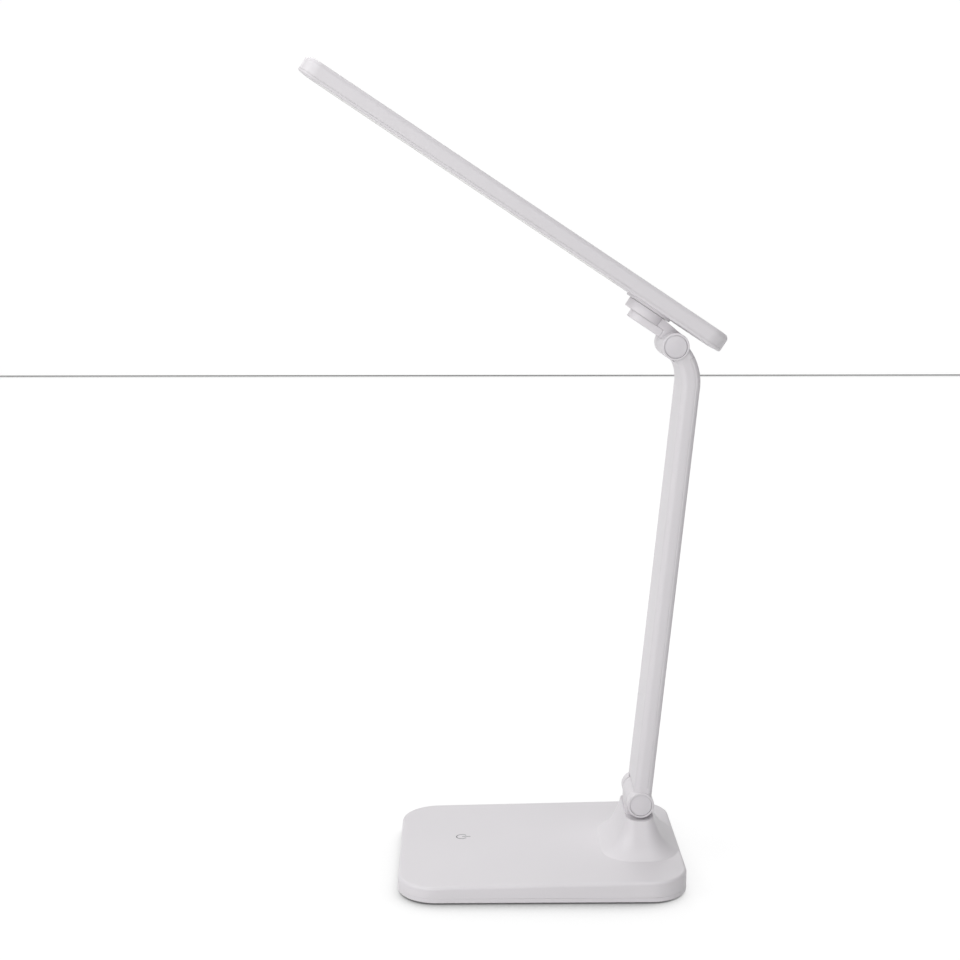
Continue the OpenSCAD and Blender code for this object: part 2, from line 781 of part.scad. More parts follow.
module lower_hinge_bolt() { at_arm() hinge_bolt(); }
module lower_hinge_nut() { at_arm() hinge_nut(); }
module lower_friction_washers() { at_arm() friction_washers(knuckle_side); }
module lower_hinge_caps() { at_arm() hinge_caps(); }
module upper_hinge_bolt() { at_arm_top() hinge_bolt(); }
module upper_hinge_nut() { at_arm_top() hinge_nut(); }
module upper_friction_washers() { at_arm_top() friction_washers(neck_side); }
module upper_hinge_caps() { at_arm_top() hinge_caps(); }

neck_bottom = parting_h - neck_cover_t;
neck_step = 8.6;
neck_front_h = collar_top - 0.1;
flange_t = 1.2;
neck_screw_r = 0.9;
neck_screw_head_r = 1.7;
neck_screw_x = -neck_step - neck_screw_head_r - 0.6;
neck_screw_y = neck_side - 2.6;
neck_screw_l = 4.6;
neck_screw_head_h = 0.8;
neck_screw_pocket = 2;
module neck_screw_places() {
    for (j = [-1, 1]) translate([neck_screw_x, j * neck_screw_y, 0]) children();
}

module neck_upper_shell() {
    color([0.92, 0.92, 0.92]) at_head() difference() {
        union() {
            translate([-swivel_reach, 0, parting_h]) cylinder(r = collar_r, h = collar_h);
            rotate([90, 0, 0]) linear_extrude(neck_w, center = true)
                polygon([[-neck_front, parting_h], [-neck_front, neck_front_h], [0, barrel_r],
                    [0, neck_bottom], [-neck_step, neck_bottom], [-neck_step, parting_h]]);
            across(barrel_r, -neck_side, neck_side);
        }
        across(bolt_r + run_gap, -far / 2, far / 2);
        translate([-swivel_reach, 0, 0]) {
            cylinder(r = stud_r + run_gap, h = far);
            cylinder(r = stud_flange_r + fit_gap, h = parting_h + flange_t + fit_gap);
        }
        translate([-swivel_reach, -neck_channel_w / 2, parting_h - overlap])
            cube([swivel_reach - neck_step + 1, neck_channel_w, neck_channel_top - parting_h]);
        neck_screw_places() translate([0, 0, parting_h - 1])
            cylinder(r = neck_screw_r + fit_gap / 2, h = neck_screw_l);
    }
}

module neck_lower_cover() {
    h = neck_cover_t - seam_gap;
    color([0.91, 0.91, 0.91]) at_head() difference() {
        translate([0, 0, neck_bottom]) {
            translate([-swivel_reach, 0, 0]) cylinder(r = neck_side, h = h);
            translate([-swivel_reach, -neck_side, 0])
                cube([swivel_reach - neck_step - seam_gap, neck_w, h]);
        }
        neck_screw_places() {
            translate([0, 0, neck_bottom - 1]) cylinder(r = neck_screw_r + fit_gap, h = 2 * h);
            translate([0, 0, neck_bottom - 1])
                cylinder(r = neck_screw_head_r + fit_gap, h = neck_screw_pocket);
        }
    }
}

module neck_screws() {
    color("silver") at_head() neck_screw_places() translate([0, 0, neck_bottom + fit_gap])
        screw(neck_screw_r, neck_screw_l, neck_screw_head_r, neck_screw_head_h);
}

cable_r = 0.8;
neck_cable_z = parting_h + cable_r + 0.25;
neck_channel_w = 4;
neck_channel_top = neck_cable_z + cable_r + 0.3;
washer_z = spigot_top + face_gap;
ring_z = washer_z + swivel_washer_t + face_gap;
stud_top = ring_z + nut_ring_h + 0.2;
module swivel_stud() {
    base_z = parting_h + 0.02;
    color("silver") at_swivel() difference() {
        union() {
            translate([0, 0, base_z]) cylinder(r = stud_flange_r, h = flange_t);
            translate([0, 0, base_z]) cylinder(r = stud_r, h = stud_top - base_z);
        }
        translate([0, 0, -1]) cylinder(r = stud_bore_r, h = far);
        translate([0, -neck_channel_w / 2, base_z - 1])
            cube([far, neck_channel_w, neck_channel_top - base_z + 1]);
    }
}

module swivel_washer() {
    color([0.75, 0.72, 0.6]) at_swivel() translate([0, 0, washer_z]) difference() {
        cylinder(r = spigot_r, h = swivel_washer_t);
        translate([0, 0, -1]) cylinder(r = stud_r + run_gap, h = far);
    }
}

module swivel_nut() {
    color("silver") at_swivel() translate([0, 0, ring_z]) difference() {
        cylinder(r = swivel_nut_r, h = nut_ring_h, $fn = 6);
        translate([0, 0, -1]) cylinder(r = stud_r + run_gap, h = far);
    }
}

module neck_cable() {
    color([0.85, 0.85, 0.85]) at_swivel() {
        translate([0, 0, neck_cable_z]) {
            rotate([0, 90, 0]) cylinder(r = cable_r, h = swivel_reach - neck_step, $fn = 24);
            sphere(cable_r, $fn = 24);
            cylinder(r = cable_r, h = head_cable_z - cable_r - 0.3 - neck_cable_z, $fn = 24);
        }
    }
}

boss_screw_ring = 9.4;
boss_screw_r = 0.8;
boss_screw_head_r = 1.5;
boss_head_h = 0.7;
boss_screw_bite = 0.9;
module boss_screw_places() {
    for (a = [90, 180, 270]) rotate(a) translate([boss_screw_ring, 0, 0]) children();
}

module swivel_boss() {
    edge = 0.5;
    color([0.92, 0.92, 0.92]) at_swivel() difference() {
        union() {
            translate([0, 0, boss_bottom]) cylinder(r = boss_r - edge, h = edge);
            translate([0, 0, boss_bottom + edge]) cylinder(r = boss_r, h = boss_t - edge);
            cylinder_top = spigot_top - boss_bottom;
            translate([0, 0, boss_bottom]) cylinder(r = spigot_r, h = cylinder_top);
        }
        cylinder(r = stud_r + run_gap, h = far);
        boss_screw_places() translate([0, 0, head_gap - boss_screw_bite - fit_gap])
            cylinder(r = boss_screw_r + fit_gap / 2, h = 2 * boss_t);
    }
}

module boss_screws() {
    color("silver") at_swivel() boss_screw_places()
        translate([0, 0, split_h + boss_head_h + face_gap]) rotate([180, 0, 0])
            screw(boss_screw_r, frame_t + face_gap + boss_screw_bite, boss_screw_head_r, boss_head_h);
}

head_screw_r = 0.9;
head_screw_l = 4;
head_screw_head_r = 1.7;
head_screw_head_h = 0.8;
head_post_r = 2;
// distances of the screws in the head from its tip, its window and its rear end
screw_from_tip = 4.6;
screw_from_window = 5;
screw_from_rear = 7;
// and from its sides
tip_screw_side = 11;
window_screw_side = 6;
rear_screw_side = 8;
module head_screw_places() {
    spots = [[-head_front + screw_from_tip, head_w / 2 - tip_screw_side],
        [-window_back + screw_from_window, head_w / 2 - window_screw_side],
        [head_rear - screw_from_rear, head_w / 2 - rear_screw_side]];
    for (p = spots, j = [-1, 1]) translate([p[0], j * p[1], 0]) children();
}

module head_window(grow, h) {
    translate([window_mid, 0, 0]) rounded_plate(window_l + 2 * grow, window_w + 2 * grow, 3 + grow, h);
}

module head_bottom_frame() {
    color([0.92, 0.92, 0.92]) at_head() difference() {
        translate([head_mid, 0, head_gap]) hull() for (i = [-1, 1], j = [-1, 1])
            translate([i * (head_l / 2 - head_corner_r), j * (head_w / 2 - head_corner_r), 0]) {
                cylinder(r = head_corner_r - head_bevel, h = overlap, $fn = 40);
                translate([0, 0, head_bevel])
                    cylinder(r = head_corner_r, h = frame_t - head_bevel, $fn = 40);
            }
        translate([0, 0, head_gap - 1]) head_window(0, frame_t + 2);
        translate([-swivel_reach, 0, 0]) {
            cylinder(r = spigot_r + fit_gap, h = far);
            boss_screw_places() cylinder(r = boss_screw_r + fit_gap, h = far);
        }
        head_screw_places() {
            cylinder(r = head_screw_r + fit_gap, h = far);
            translate([0, 0, head_gap - 1])
                cylinder(r = head_screw_head_r + fit_gap, h = 1 + head_screw_head_h + fit_gap);
        }
    }
}

module head_screws() {
    color("silver") at_head() head_screw_places()
        translate([0, 0, head_gap + face_gap])
            screw(head_screw_r, head_screw_l, head_screw_head_r, head_screw_head_h);
}

module diffuser_panel() {
    color([1, 1, 0.97]) at_head() {
        translate([0, 0, head_gap + diffuser_recess])
            head_window(-fit_gap, frame_t - diffuser_recess + fit_gap);
        translate([0, 0, split_h + 0.03]) head_window(diffuser_lip, diffuser_t - 0.03);
    }
}

module light_guide() {
    color([0.85, 0.93, 0.97]) at_head() translate([0, 0, guide_h]) head_window(diffuser_lip, guide_t);
}

module reflector_sheet() {
    color([0.97, 0.97, 0.97]) at_head() translate([0, 0, reflector_h])
        head_window(diffuser_lip, reflector_t);
}

module led_strips() {
    color([0.95, 0.95, 0.9]) at_head() for (j = [-1, 1])
        translate([window_mid, j * (strip_side + strip_t / 2), guide_h + strip_h / 2])
            cube([strip_l, strip_t, strip_h], center = true);
}

module led_chips() {
    pitch = strip_l / led_count;
    color([1, 0.9, 0.4]) at_head() for (i = [0:led_count - 1], j = [-1, 1])
        translate([window_mid + (i - (led_count - 1) / 2) * pitch, j * (led_side + led_t / 2),
            guide_h + guide_t / 2]) cube([led_l, led_t, led_h], center = true);
}

head_cable_z = reflector_h + reflector_t + cable_r + 0.2;
module head_cable() {
    branch_x = window_mid + strip_l / 2 - 2;
    color([0.85, 0.85, 0.85]) at_head() translate([-swivel_reach, 0, head_cable_z]) {
        sphere(cable_r, $fn = 24);
        rotate([0, -90, 0]) cylinder(r = cable_r, h = -swivel_reach - branch_x, $fn = 24);
        translate([branch_x + swivel_reach, 0, 0])
            across(cable_r, -strip_side - strip_t / 2, strip_side + strip_t / 2);
    }
}

module head_top_cover() {
    bottom = split_h + seam_gap;
    rib_bottom = reflector_h + reflector_t + 0.1;
    color([0.93, 0.93, 0.92]) at_head() difference() {
        union() {
            difference() {
                translate([head_mid, 0, bottom])
                    soft_slab(head_l, head_w, head_corner_r, head_edge_r, head_top - bottom);
                translate([head_mid, 0, bottom - 1]) rounded_plate(head_l - 2 * head_wall,
                    head_w - 2 * head_wall, head_corner_r - head_wall, ceiling_h - bottom + 1);
            }
            for (i = [-1, 0, 1])
                translate([window_mid + i * guide_l / 3, 0, (ceiling_h + rib_bottom) / 2 + overlap])
                    cube([1.2, guide_w - 8, ceiling_h - rib_bottom], center = true);
            head_screw_places() translate([0, 0, bottom])
                cylinder(r = head_post_r, h = ceiling_h - bottom + overlap);
        }
        head_screw_places() cylinder(r = head_screw_r + fit_gap / 2,
            h = head_gap + head_screw_head_h + head_screw_l + 2 * fit_gap + face_gap);
    }
}

non_slip_pad();
base_bottom_plate();
base_screws();
base_top_shell();
power_mark();
touch_electrode();
touch_wire();
ballast_plate();
ballast_screws();
battery_cell();
battery_lead();
control_board();
power_inlet();
base_cable();
arm_front_shell();
arm_rear_cover();
arm_core();
arm_ribbon();
arm_screws();
lower_hinge_bolt();
lower_hinge_nut();
lower_friction_washers();
lower_hinge_caps();
upper_hinge_bolt();
upper_hinge_nut();
upper_friction_washers();
upper_hinge_caps();
neck_upper_shell();
neck_lower_cover();
neck_screws();
neck_cable();
swivel_stud();
swivel_washer();
swivel_nut();
swivel_boss();
boss_screws();
head_bottom_frame();
diffuser_panel();
light_guide();
reflector_sheet();
led_strips();
led_chips();
head_cable();
head_top_cover();
head_screws();
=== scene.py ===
import json
import math

import bpy
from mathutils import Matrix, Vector


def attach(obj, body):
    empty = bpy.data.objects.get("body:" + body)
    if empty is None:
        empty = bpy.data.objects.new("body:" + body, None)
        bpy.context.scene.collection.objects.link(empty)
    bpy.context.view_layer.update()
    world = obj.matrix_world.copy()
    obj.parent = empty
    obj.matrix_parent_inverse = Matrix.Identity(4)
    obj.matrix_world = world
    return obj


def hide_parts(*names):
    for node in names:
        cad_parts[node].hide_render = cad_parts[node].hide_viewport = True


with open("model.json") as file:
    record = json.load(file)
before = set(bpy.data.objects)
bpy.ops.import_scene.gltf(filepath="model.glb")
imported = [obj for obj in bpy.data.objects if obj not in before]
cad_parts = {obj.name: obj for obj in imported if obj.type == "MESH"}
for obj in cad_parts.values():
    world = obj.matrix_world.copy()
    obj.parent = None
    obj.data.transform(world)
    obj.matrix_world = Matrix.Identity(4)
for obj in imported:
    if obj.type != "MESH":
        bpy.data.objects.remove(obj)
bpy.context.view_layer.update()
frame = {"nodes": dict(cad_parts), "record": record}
mm = 0.001
print("frame loaded:", len(frame["nodes"]), "nodes")


# camera and light

cameraLook = {
    "place": (-0.04211, -0.82887, 0.34867),  # metres, fitted to the base outline, the hinges and the head
    "pitch": 80.46,
    "yaw": -0.71,
    "lens": 60.33,  # mm on a 36 mm sensor
}


def addCamera(look):
    camera = bpy.data.objects.new("camera", bpy.data.cameras.new("camera"))
    bpy.context.scene.collection.objects.link(camera)
    camera.location = look["place"]
    camera.rotation_euler = (math.radians(look["pitch"]), 0, math.radians(look["yaw"]))
    camera.data.lens = look["lens"]
    camera.data.sensor_width = 36
    bpy.context.scene.camera = camera


def hexColor(code):
    shades = [int(code[i:i + 2], 16) / 255 for i in (1, 3, 5)]
    linear = [v / 12.92 if v <= 0.04045 else ((v + 0.055) / 1.055) ** 2.4 for v in shades]
    return (*linear, 1)


def addNode(tree, kind, settings=None, links=None):
    node = tree.nodes.new(kind)
    for name, value in (settings or {}).items():
        if isinstance(name, int) or name in node.inputs:
            node.inputs[name].default_value = value
        else:
            setattr(node, name, value)
    for name, source in (links or {}).items():
        tree.links.new(source, node.inputs[name])
    return node


lamps = {  # soft boxes: place, what it points at, size in metres and power in watts
    "leftHigh": {"place": (-1.3, -0.5, 1.2), "aim": (0, 0, 0.2), "size": (1.0, 1.0), "watts": 8.0},
    "frontHigh": {"place": (-0.6, -1.6, 1.1), "aim": (0, 0, 0.2), "size": (1.4, 0.8), "watts": 10.5},
    "frontLow": {"place": (-0.4, -1.8, 0.3), "aim": (0, 0, 0.2), "size": (1.4, 0.4), "watts": 4.0},
    "topSoft": {"place": (0, 0, 1.7), "aim": (0, 0, 0), "size": (1.4, 1.4), "watts": 10.0},
    "rearTop": {"place": (-0.4, 1.2, 1.3), "aim": (0, 0, 0.2), "size": (1.2, 0.8), "watts": 6.0},
}
ambientLight = {"color": "#F7F6F8", "strength": 0.16}


def addLights():
    for name, look in lamps.items():
        data = bpy.data.lights.new(name, "AREA")
        data.shape = "RECTANGLE"
        data.size, data.size_y = look["size"]
        data.energy = look["watts"]
        lamp = bpy.data.objects.new(name, data)
        bpy.context.scene.collection.objects.link(lamp)
        lamp.location = look["place"]
        towards = Vector(look["aim"]) - Vector(look["place"])
        lamp.rotation_euler = towards.to_track_quat("-Z", "Y").to_euler()


def seenRay(tree):  # 1 for what the camera sees, also through glass or in a reflection
    path = addNode(tree, "ShaderNodeLightPath")
    through = addNode(tree, "ShaderNodeMath", {"operation": "MAXIMUM"},
                      {0: path.outputs["Is Camera Ray"], 1: path.outputs["Is Transmission Ray"]})
    return addNode(tree, "ShaderNodeMath", {"operation": "MAXIMUM"},
                   {0: through.outputs[0], 1: path.outputs["Is Glossy Ray"]}).outputs[0]


def addSky():
    world = bpy.data.worlds.new("studio")
    bpy.context.scene.world = world
    world.use_nodes = True
    tree = world.node_tree
    tree.nodes.clear()
    soft = addNode(tree, "ShaderNodeBackground",
                   {"Color": hexColor(ambientLight["color"]), "Strength": ambientLight["strength"]})
    white = addNode(tree, "ShaderNodeBackground", {"Color": (1, 1, 1, 1), "Strength": 1})
    mix = addNode(tree, "ShaderNodeMixShader",
                  links={0: seenRay(tree), 1: soft.outputs[0], 2: white.outputs[0]})
    addNode(tree, "ShaderNodeOutputWorld", links={"Surface": mix.outputs[0]})


floorLook = {
    "color": "#F4F4F4", "reach": 40,
    "shadow": 0.2,  # how much of the object's shadow the camera sees close to the base
    # painted contact shade under the base, an occlusion test that darkens the paper's seen white rather than
    # a lamp's shadow: where light would come from, metres, and how steep and deep it gets
    "paintedContactShade": {"towards": (0.25, 0.7, 0.65), "reach": 0.06, "power": 2.5, "depth": 1.7, "samples": 8},
    "wall": 2.6,  # metres behind the lamp, the same paper hung upright
    "below": 1,  # metres that it reaches below the floor
    "farWhite": 0.9,  # share of plain white in the paper away from the base
    "white": 1.09,  # a little over 1, so that lit paper is plain white and only a shadow shows
    "fadeStart": 0.1, "fadeEnd": 0.4,  # metres from the base over which the paper goes to plain white
}


def makePaper():
    paper = bpy.data.materials.new("matteWhitePaper")  # seamless paper, no gloss at all
    paper.use_nodes = True
    paper.cycles.emission_sampling = "NONE"  # the white is only to be seen, so no lamp sample is spent on it
    tree = paper.node_tree
    tree.nodes.clear()
    place = addNode(tree, "ShaderNodeTexCoord").outputs["Object"]
    reach = addNode(tree, "ShaderNodeVectorMath", {"operation": "LENGTH"}, {0: place})
    fade = addNode(tree, "ShaderNodeMapRange",
                   {"From Min": floorLook["fadeStart"], "From Max": floorLook["fadeEnd"],
                    "To Min": 1 - floorLook["shadow"], "To Max": floorLook["farWhite"]},
                   {"Value": reach.outputs["Value"]})
    share = addNode(tree, "ShaderNodeMath", {"operation": "MULTIPLY"}, {0: fade.outputs[0], 1: seenRay(tree)})
    matte = addNode(tree, "ShaderNodeBsdfDiffuse", {"Color": hexColor(floorLook["color"])})
    paintedShade = floorLook["paintedContactShade"]  # painted shade: the paper's seen white darkens where an occlusion test finds the base towards the back; no lamp casts it
    lean = addNode(tree, "ShaderNodeCombineXYZ", dict(enumerate(paintedShade["towards"])))
    free = addNode(tree, "ShaderNodeAmbientOcclusion",
                   {"samples": paintedShade["samples"], "Distance": paintedShade["reach"]},
                   {"Normal": lean.outputs[0]})
    shut = addNode(tree, "ShaderNodeMath", {"operation": "SUBTRACT", 0: 1.0}, {1: free.outputs["AO"]})
    deep = addNode(tree, "ShaderNodeMath", {"operation": "POWER", 1: paintedShade["power"]}, {0: shut.outputs[0]})
    # painted shade: the strength of the seen white drops as the occlusion grows
    lit = addNode(tree, "ShaderNodeMapRange", {"From Max": 1 / paintedShade["depth"], "To Min": floorLook["white"],
                                               "To Max": 0.0}, {"Value": deep.outputs[0]})
    white = addNode(tree, "ShaderNodeEmission", {"Color": (1, 1, 1, 1)}, {"Strength": lit.outputs[0]})
    mix = addNode(tree, "ShaderNodeMixShader",
                  links={0: share.outputs[0], 1: matte.outputs[0], 2: white.outputs[0]})
    addNode(tree, "ShaderNodeOutputMaterial", links={"Surface": mix.outputs[0]})
    return paper


def layPaper(name, paper, place, turn):  # a big sheet that takes the light but is no part of the lamp
    bpy.ops.object.select_all(action="DESELECT")
    bpy.ops.mesh.primitive_plane_add(size=floorLook["reach"], location=place, rotation=turn)
    sheet = bpy.context.object
    sheet.name = name
    sheet.data.materials.append(paper)


def addFloor():
    paper = makePaper()
    layPaper("floor", paper, (0, 0, 0), (0, 0, 0))
    middle = floorLook["reach"] / 2 - floorLook["below"]
    layPaper("wall", paper, (0, floorLook["wall"], middle), (math.pi / 2, 0, 0))


# materials: what each one really is, and what that gives the eye

finishes = {
    # moulded ABS with a fine spark-eroded skin: even white with a faint mauve cast and a soft broad gloss
    "mouldedAbs": {
        "colors": ("#E0DDE0", "#DBD8DB"), "cloudMm": 70, "grainMm": 0.6,  # real skin 0.05 mm, drawn coarser
        "rough": (0.36, 0.44), "bumpMm": 0.002, "shader": {"IOR": 1.53},
    },
    # the same ABS from a polished mould: caps that catch a little more light
    "polishedAbs": {
        "colors": ("#DEDBDE", "#D9D6DA"), "cloudMm": 12, "grainMm": 0.4,
        "rough": (0.26, 0.34), "bumpMm": 0.003, "shader": {"IOR": 1.53},
    },
    # EVA foam: dull dark grey with closed cells
    "evaFoam": {
        "colors": ("#4A4A4C", "#38383A"), "cloudMm": 9, "grainMm": 0.7, "pattern": "ShaderNodeTexVoronoi",
        "rough": (0.75, 0.92), "bumpMm": 0.06, "shader": {"IOR": 1.48},
    },
    # pad-printed epoxy ink: matt grey with soft edges
    "printedInk": {
        "colors": ("#77757C", "#6C6A71"), "cloudMm": 2, "grainMm": 0.15,
        "rough": (0.5, 0.62), "bumpMm": 0.004, "shader": {"IOR": 1.5},
    },
    # milky acrylic, frosted inside: bright, deep white with a clean gloss
    "opalAcrylic": {
        "colors": ("#F1F0EC", "#EDECE8"), "cloudMm": 40, "grainMm": 0.6,
        "rough": (0.22, 0.3), "bumpMm": 0.003,
        "shader": {"IOR": 1.49},
    },
    # cast acrylic plate: clear, hardly tinted
    "clearAcrylic": {
        "colors": ("#F4F9FA", "#EFF6F8"), "cloudMm": 60, "grainMm": 1.5,
        "rough": (0.02, 0.06), "bumpMm": 0.001, "shader": {"IOR": 1.49, "Transmission Weight": 0.92},
    },
    # white polyester film: matt and bright
    "whiteFilm": {
        "colors": ("#F2F2F0", "#ECECEA"), "cloudMm": 25, "grainMm": 0.8,
        "rough": (0.4, 0.5), "bumpMm": 0.004, "shader": {"IOR": 1.57},
    },
    # zinc plated steel screws: bluish silver with turning marks
    "zincPlated": {
        "colors": ("#C6C9CE", "#AEB2B8"), "cloudMm": 3, "grainMm": 0.3, "pattern": "ShaderNodeTexWave",
        "rough": (0.24, 0.4), "bumpMm": 0.004, "shader": {"Metallic": 1.0},
    },
    # hot dip galvanised sheet: spangled grey
    "galvanisedSheet": {
        "colors": ("#B4B8BC", "#8F9499"), "cloudMm": 7, "grainMm": 6, "pattern": "ShaderNodeTexVoronoi",
        "rough": (0.35, 0.55), "bumpMm": 0.01, "shader": {"Metallic": 1.0},
    },
    # nickel plated shell of the socket: warm bright silver
    "nickelPlated": {
        "colors": ("#C9C5BC", "#BAB6AD"), "cloudMm": 2, "grainMm": 0.25,
        "rough": (0.18, 0.28), "bumpMm": 0.002, "shader": {"Metallic": 1.0},
    },
    # copper tape: brown-red with a brushed lay
    "copperTape": {
        "colors": ("#C98A62", "#B3724C"), "cloudMm": 5, "grainMm": 0.3, "pattern": "ShaderNodeTexWave",
        "rough": (0.28, 0.42), "bumpMm": 0.004, "shader": {"Metallic": 1.0},
    },
    # aluminium laminate of a pouch cell: satin, lightly wrinkled
    "pouchFoil": {
        "colors": ("#BFC2C6", "#A9ACB1"), "cloudMm": 10, "grainMm": 3,
        "rough": (0.3, 0.45), "bumpMm": 0.08, "shader": {"Metallic": 0.9},
    },
    # solder resist on glass fibre board: glossy green over a faint weave
    "solderResist": {
        "colors": ("#1F6B42", "#185737"), "cloudMm": 6, "grainMm": 0.6, "pattern": "ShaderNodeTexWave",
        "rough": (0.25, 0.35), "bumpMm": 0.01, "shader": {"IOR": 1.5},
    },
    # natural acetal washers: waxy cream
    "naturalAcetal": {
        "colors": ("#E2DCC8", "#D6CFBA"), "cloudMm": 3, "grainMm": 0.3,
        "rough": (0.35, 0.45), "bumpMm": 0.003, "shader": {"IOR": 1.48},
    },
    # PVC wire and cable: soft gloss, even colour
    "redPvc": {
        "colors": ("#B3261E", "#9C1F18"), "cloudMm": 4, "grainMm": 0.3,
        "rough": (0.4, 0.5), "bumpMm": 0.003, "shader": {"IOR": 1.54},
    },
    "blackPvc": {
        "colors": ("#2A2A2C", "#222224"), "cloudMm": 4, "grainMm": 0.3,
        "rough": (0.4, 0.5), "bumpMm": 0.003, "shader": {"IOR": 1.54},
    },
    "greyPvc": {
        "colors": ("#CFCFCF", "#C4C4C4"), "cloudMm": 5, "grainMm": 0.3,
        "rough": (0.42, 0.52), "bumpMm": 0.003, "shader": {"IOR": 1.54},
    },
    # silicone with phosphor over the diodes: matt egg yellow
    "phosphorSilicone": {
        "colors": ("#F0D36B", "#E3C257"), "cloudMm": 1, "grainMm": 0.2,
        "rough": (0.5, 0.6), "bumpMm": 0.01, "shader": {"IOR": 1.41},
    },
}
slotFinish = {
    "white_shell": "mouldedAbs", "white_cap": "polishedAbs", "pad_rubber": "evaFoam",
    "symbol_grey": "printedInk", "copper": "copperTape", "wire_red": "redPvc", "wire_black": "blackPvc",
    "ballast_steel": "galvanisedSheet", "steel": "zincPlated", "washer_plastic": "naturalAcetal",
    "cell_foil": "pouchFoil", "board_green": "solderResist", "socket_steel": "nickelPlated",
    "cable_sheath": "greyPvc", "milky_diffuser": "opalAcrylic", "clear_acrylic": "clearAcrylic",
    "reflector_white": "whiteFilm", "diode_yellow": "phosphorSilicone",
}


def makeFinish(name, look):
    material = bpy.data.materials.new(name)
    material.use_nodes = True
    tree = material.node_tree
    body = tree.nodes["Principled BSDF"]
    for socket, value in look["shader"].items():
        body.inputs[socket].default_value = value
    place = addNode(tree, "ShaderNodeTexCoord").outputs["Object"]
    cloud = addNode(tree, "ShaderNodeTexNoise", {"Scale": 1 / (look["cloudMm"] * mm), "Detail": 2},
                    {"Vector": place})
    tint = addNode(tree, "ShaderNodeMix", {"data_type": "RGBA", 6: hexColor(look["colors"][0]),
                                           7: hexColor(look["colors"][1])}, {0: cloud.outputs["Fac"]})
    tree.links.new(tint.outputs[2], body.inputs["Base Color"])
    grain = addNode(tree, look.get("pattern", "ShaderNodeTexNoise"), {"Scale": 1 / (look["grainMm"] * mm)},
                    {"Vector": place})
    low, high = look["rough"]
    rough = addNode(tree, "ShaderNodeMapRange", {"To Min": low, "To Max": high}, {"Value": grain.outputs[0]})
    tree.links.new(rough.outputs[0], body.inputs["Roughness"])
    bump = addNode(tree, "ShaderNodeBump", {"Strength": 0.4, "Distance": look["bumpMm"] * mm},
                   {"Height": grain.outputs[0]})
    tree.links.new(bump.outputs[0], body.inputs["Normal"])
    return material


def dressNodes():
    made = {name: makeFinish(name, look) for name, look in finishes.items()}
    for row in frame["record"]["subparts"]:
        node = frame["nodes"][row["node"]]
        node.data.materials.clear()
        node.data.materials.append(made[slotFinish[row["material_slot"]]])
    return made


# modelling tools: every size handed to them is in millimetres

# how many sides a round piece is drawn with
plainSides, rimSides, studSides, boreSides, postSides, holeSides, nutSides = 96, 128, 64, 48, 32, 24, 6

def only(piece):
    bpy.ops.object.select_all(action="DESELECT")
    piece.select_set(True)
    bpy.context.view_layer.objects.active = piece


def named(name):
    piece = bpy.context.object
    piece.name = piece.data.name = name
    bpy.ops.object.transform_apply(location=True, rotation=True, scale=True)
    return piece


def addBlock(name, low, high):  # a cube stretched between two corners
    low, high = Vector(low) * mm, Vector(high) * mm
    bpy.ops.object.select_all(action="DESELECT")
    bpy.ops.mesh.primitive_cube_add(size=1, location=(low + high) / 2, scale=high - low)
    return named(name)


def addDrum(name, radius, start, end, sides=plainSides):  # a cylinder from one point to another
    start, end = Vector(start) * mm, Vector(end) * mm
    bpy.ops.object.select_all(action="DESELECT")
    bpy.ops.mesh.primitive_cylinder_add(
        vertices=sides, radius=radius * mm, depth=(end - start).length, location=(start + end) / 2,
        rotation=(end - start).to_track_quat("Z", "Y").to_euler())
    return named(name)


def pick(piece, kind, test):  # goes into edit mode with what passes the test selected
    only(piece)
    bpy.ops.object.mode_set(mode="EDIT")
    bpy.ops.mesh.select_mode(type=kind)
    bpy.ops.mesh.select_all(action="DESELECT")
    bpy.ops.object.mode_set(mode="OBJECT")
    mesh = piece.data
    if kind == "EDGE":
        for edge in mesh.edges:
            one, two = (mesh.vertices[corner].co / mm for corner in edge.vertices)
            edge.select = bool(test((one + two) / 2, (two - one).normalized()))
    else:
        for face in mesh.polygons:
            face.select = bool(test(face.center / mm, face.normal))
    bpy.ops.object.mode_set(mode="EDIT")


mergeGap = 0.002  # mm
flatAngle = 0.3  # degrees between faces that lie in one plane


def near(value, target, slack=0.01):
    return abs(value - target) < slack


def soften(piece, radius, steps, test, profile=0.5):  # rounds the edges that pass the test
    pick(piece, "EDGE", test)
    bpy.ops.mesh.bevel(offset=radius * mm, segments=steps, profile=profile, affect="EDGES")
    bpy.ops.object.mode_set(mode="OBJECT")


def combine(piece, how, *others):
    for other in others:
        only(piece)
        joint = piece.modifiers.new("combine", "BOOLEAN")
        joint.operation, joint.object, joint.solver = how, other, "MANIFOLD"
        bpy.ops.object.modifier_apply(modifier=joint.name)
        bpy.data.objects.remove(other)


def cut(piece, *others):
    combine(piece, "DIFFERENCE", *others)


def fuse(piece, *others):
    combine(piece, "UNION", *others)


def tidyFaces(piece):  # joins what lies in one plane, so that an outline can be rounded in one go
    only(piece)
    bpy.ops.object.mode_set(mode="EDIT")
    bpy.ops.mesh.select_all(action="SELECT")
    bpy.ops.mesh.remove_doubles(threshold=mergeGap * mm)
    bpy.ops.mesh.dissolve_limited(angle_limit=math.radians(flatAngle))
    bpy.ops.object.mode_set(mode="OBJECT")


def spinTop(piece, height, centreX, degrees, steps):  # carries the top face round the bend
    pick(piece, "FACE", lambda at, normal: normal.z > 0.9 and near(at.z, height))
    bpy.ops.mesh.spin(steps=steps, angle=math.radians(degrees), center=(centreX * mm, 0, height * mm),
                      axis=(0, 1, 0))
    bpy.ops.mesh.select_all(action="SELECT")
    bpy.ops.mesh.remove_doubles(threshold=mergeGap * mm)
    bpy.ops.mesh.normals_make_consistent(inside=False)
    bpy.ops.object.mode_set(mode="OBJECT")


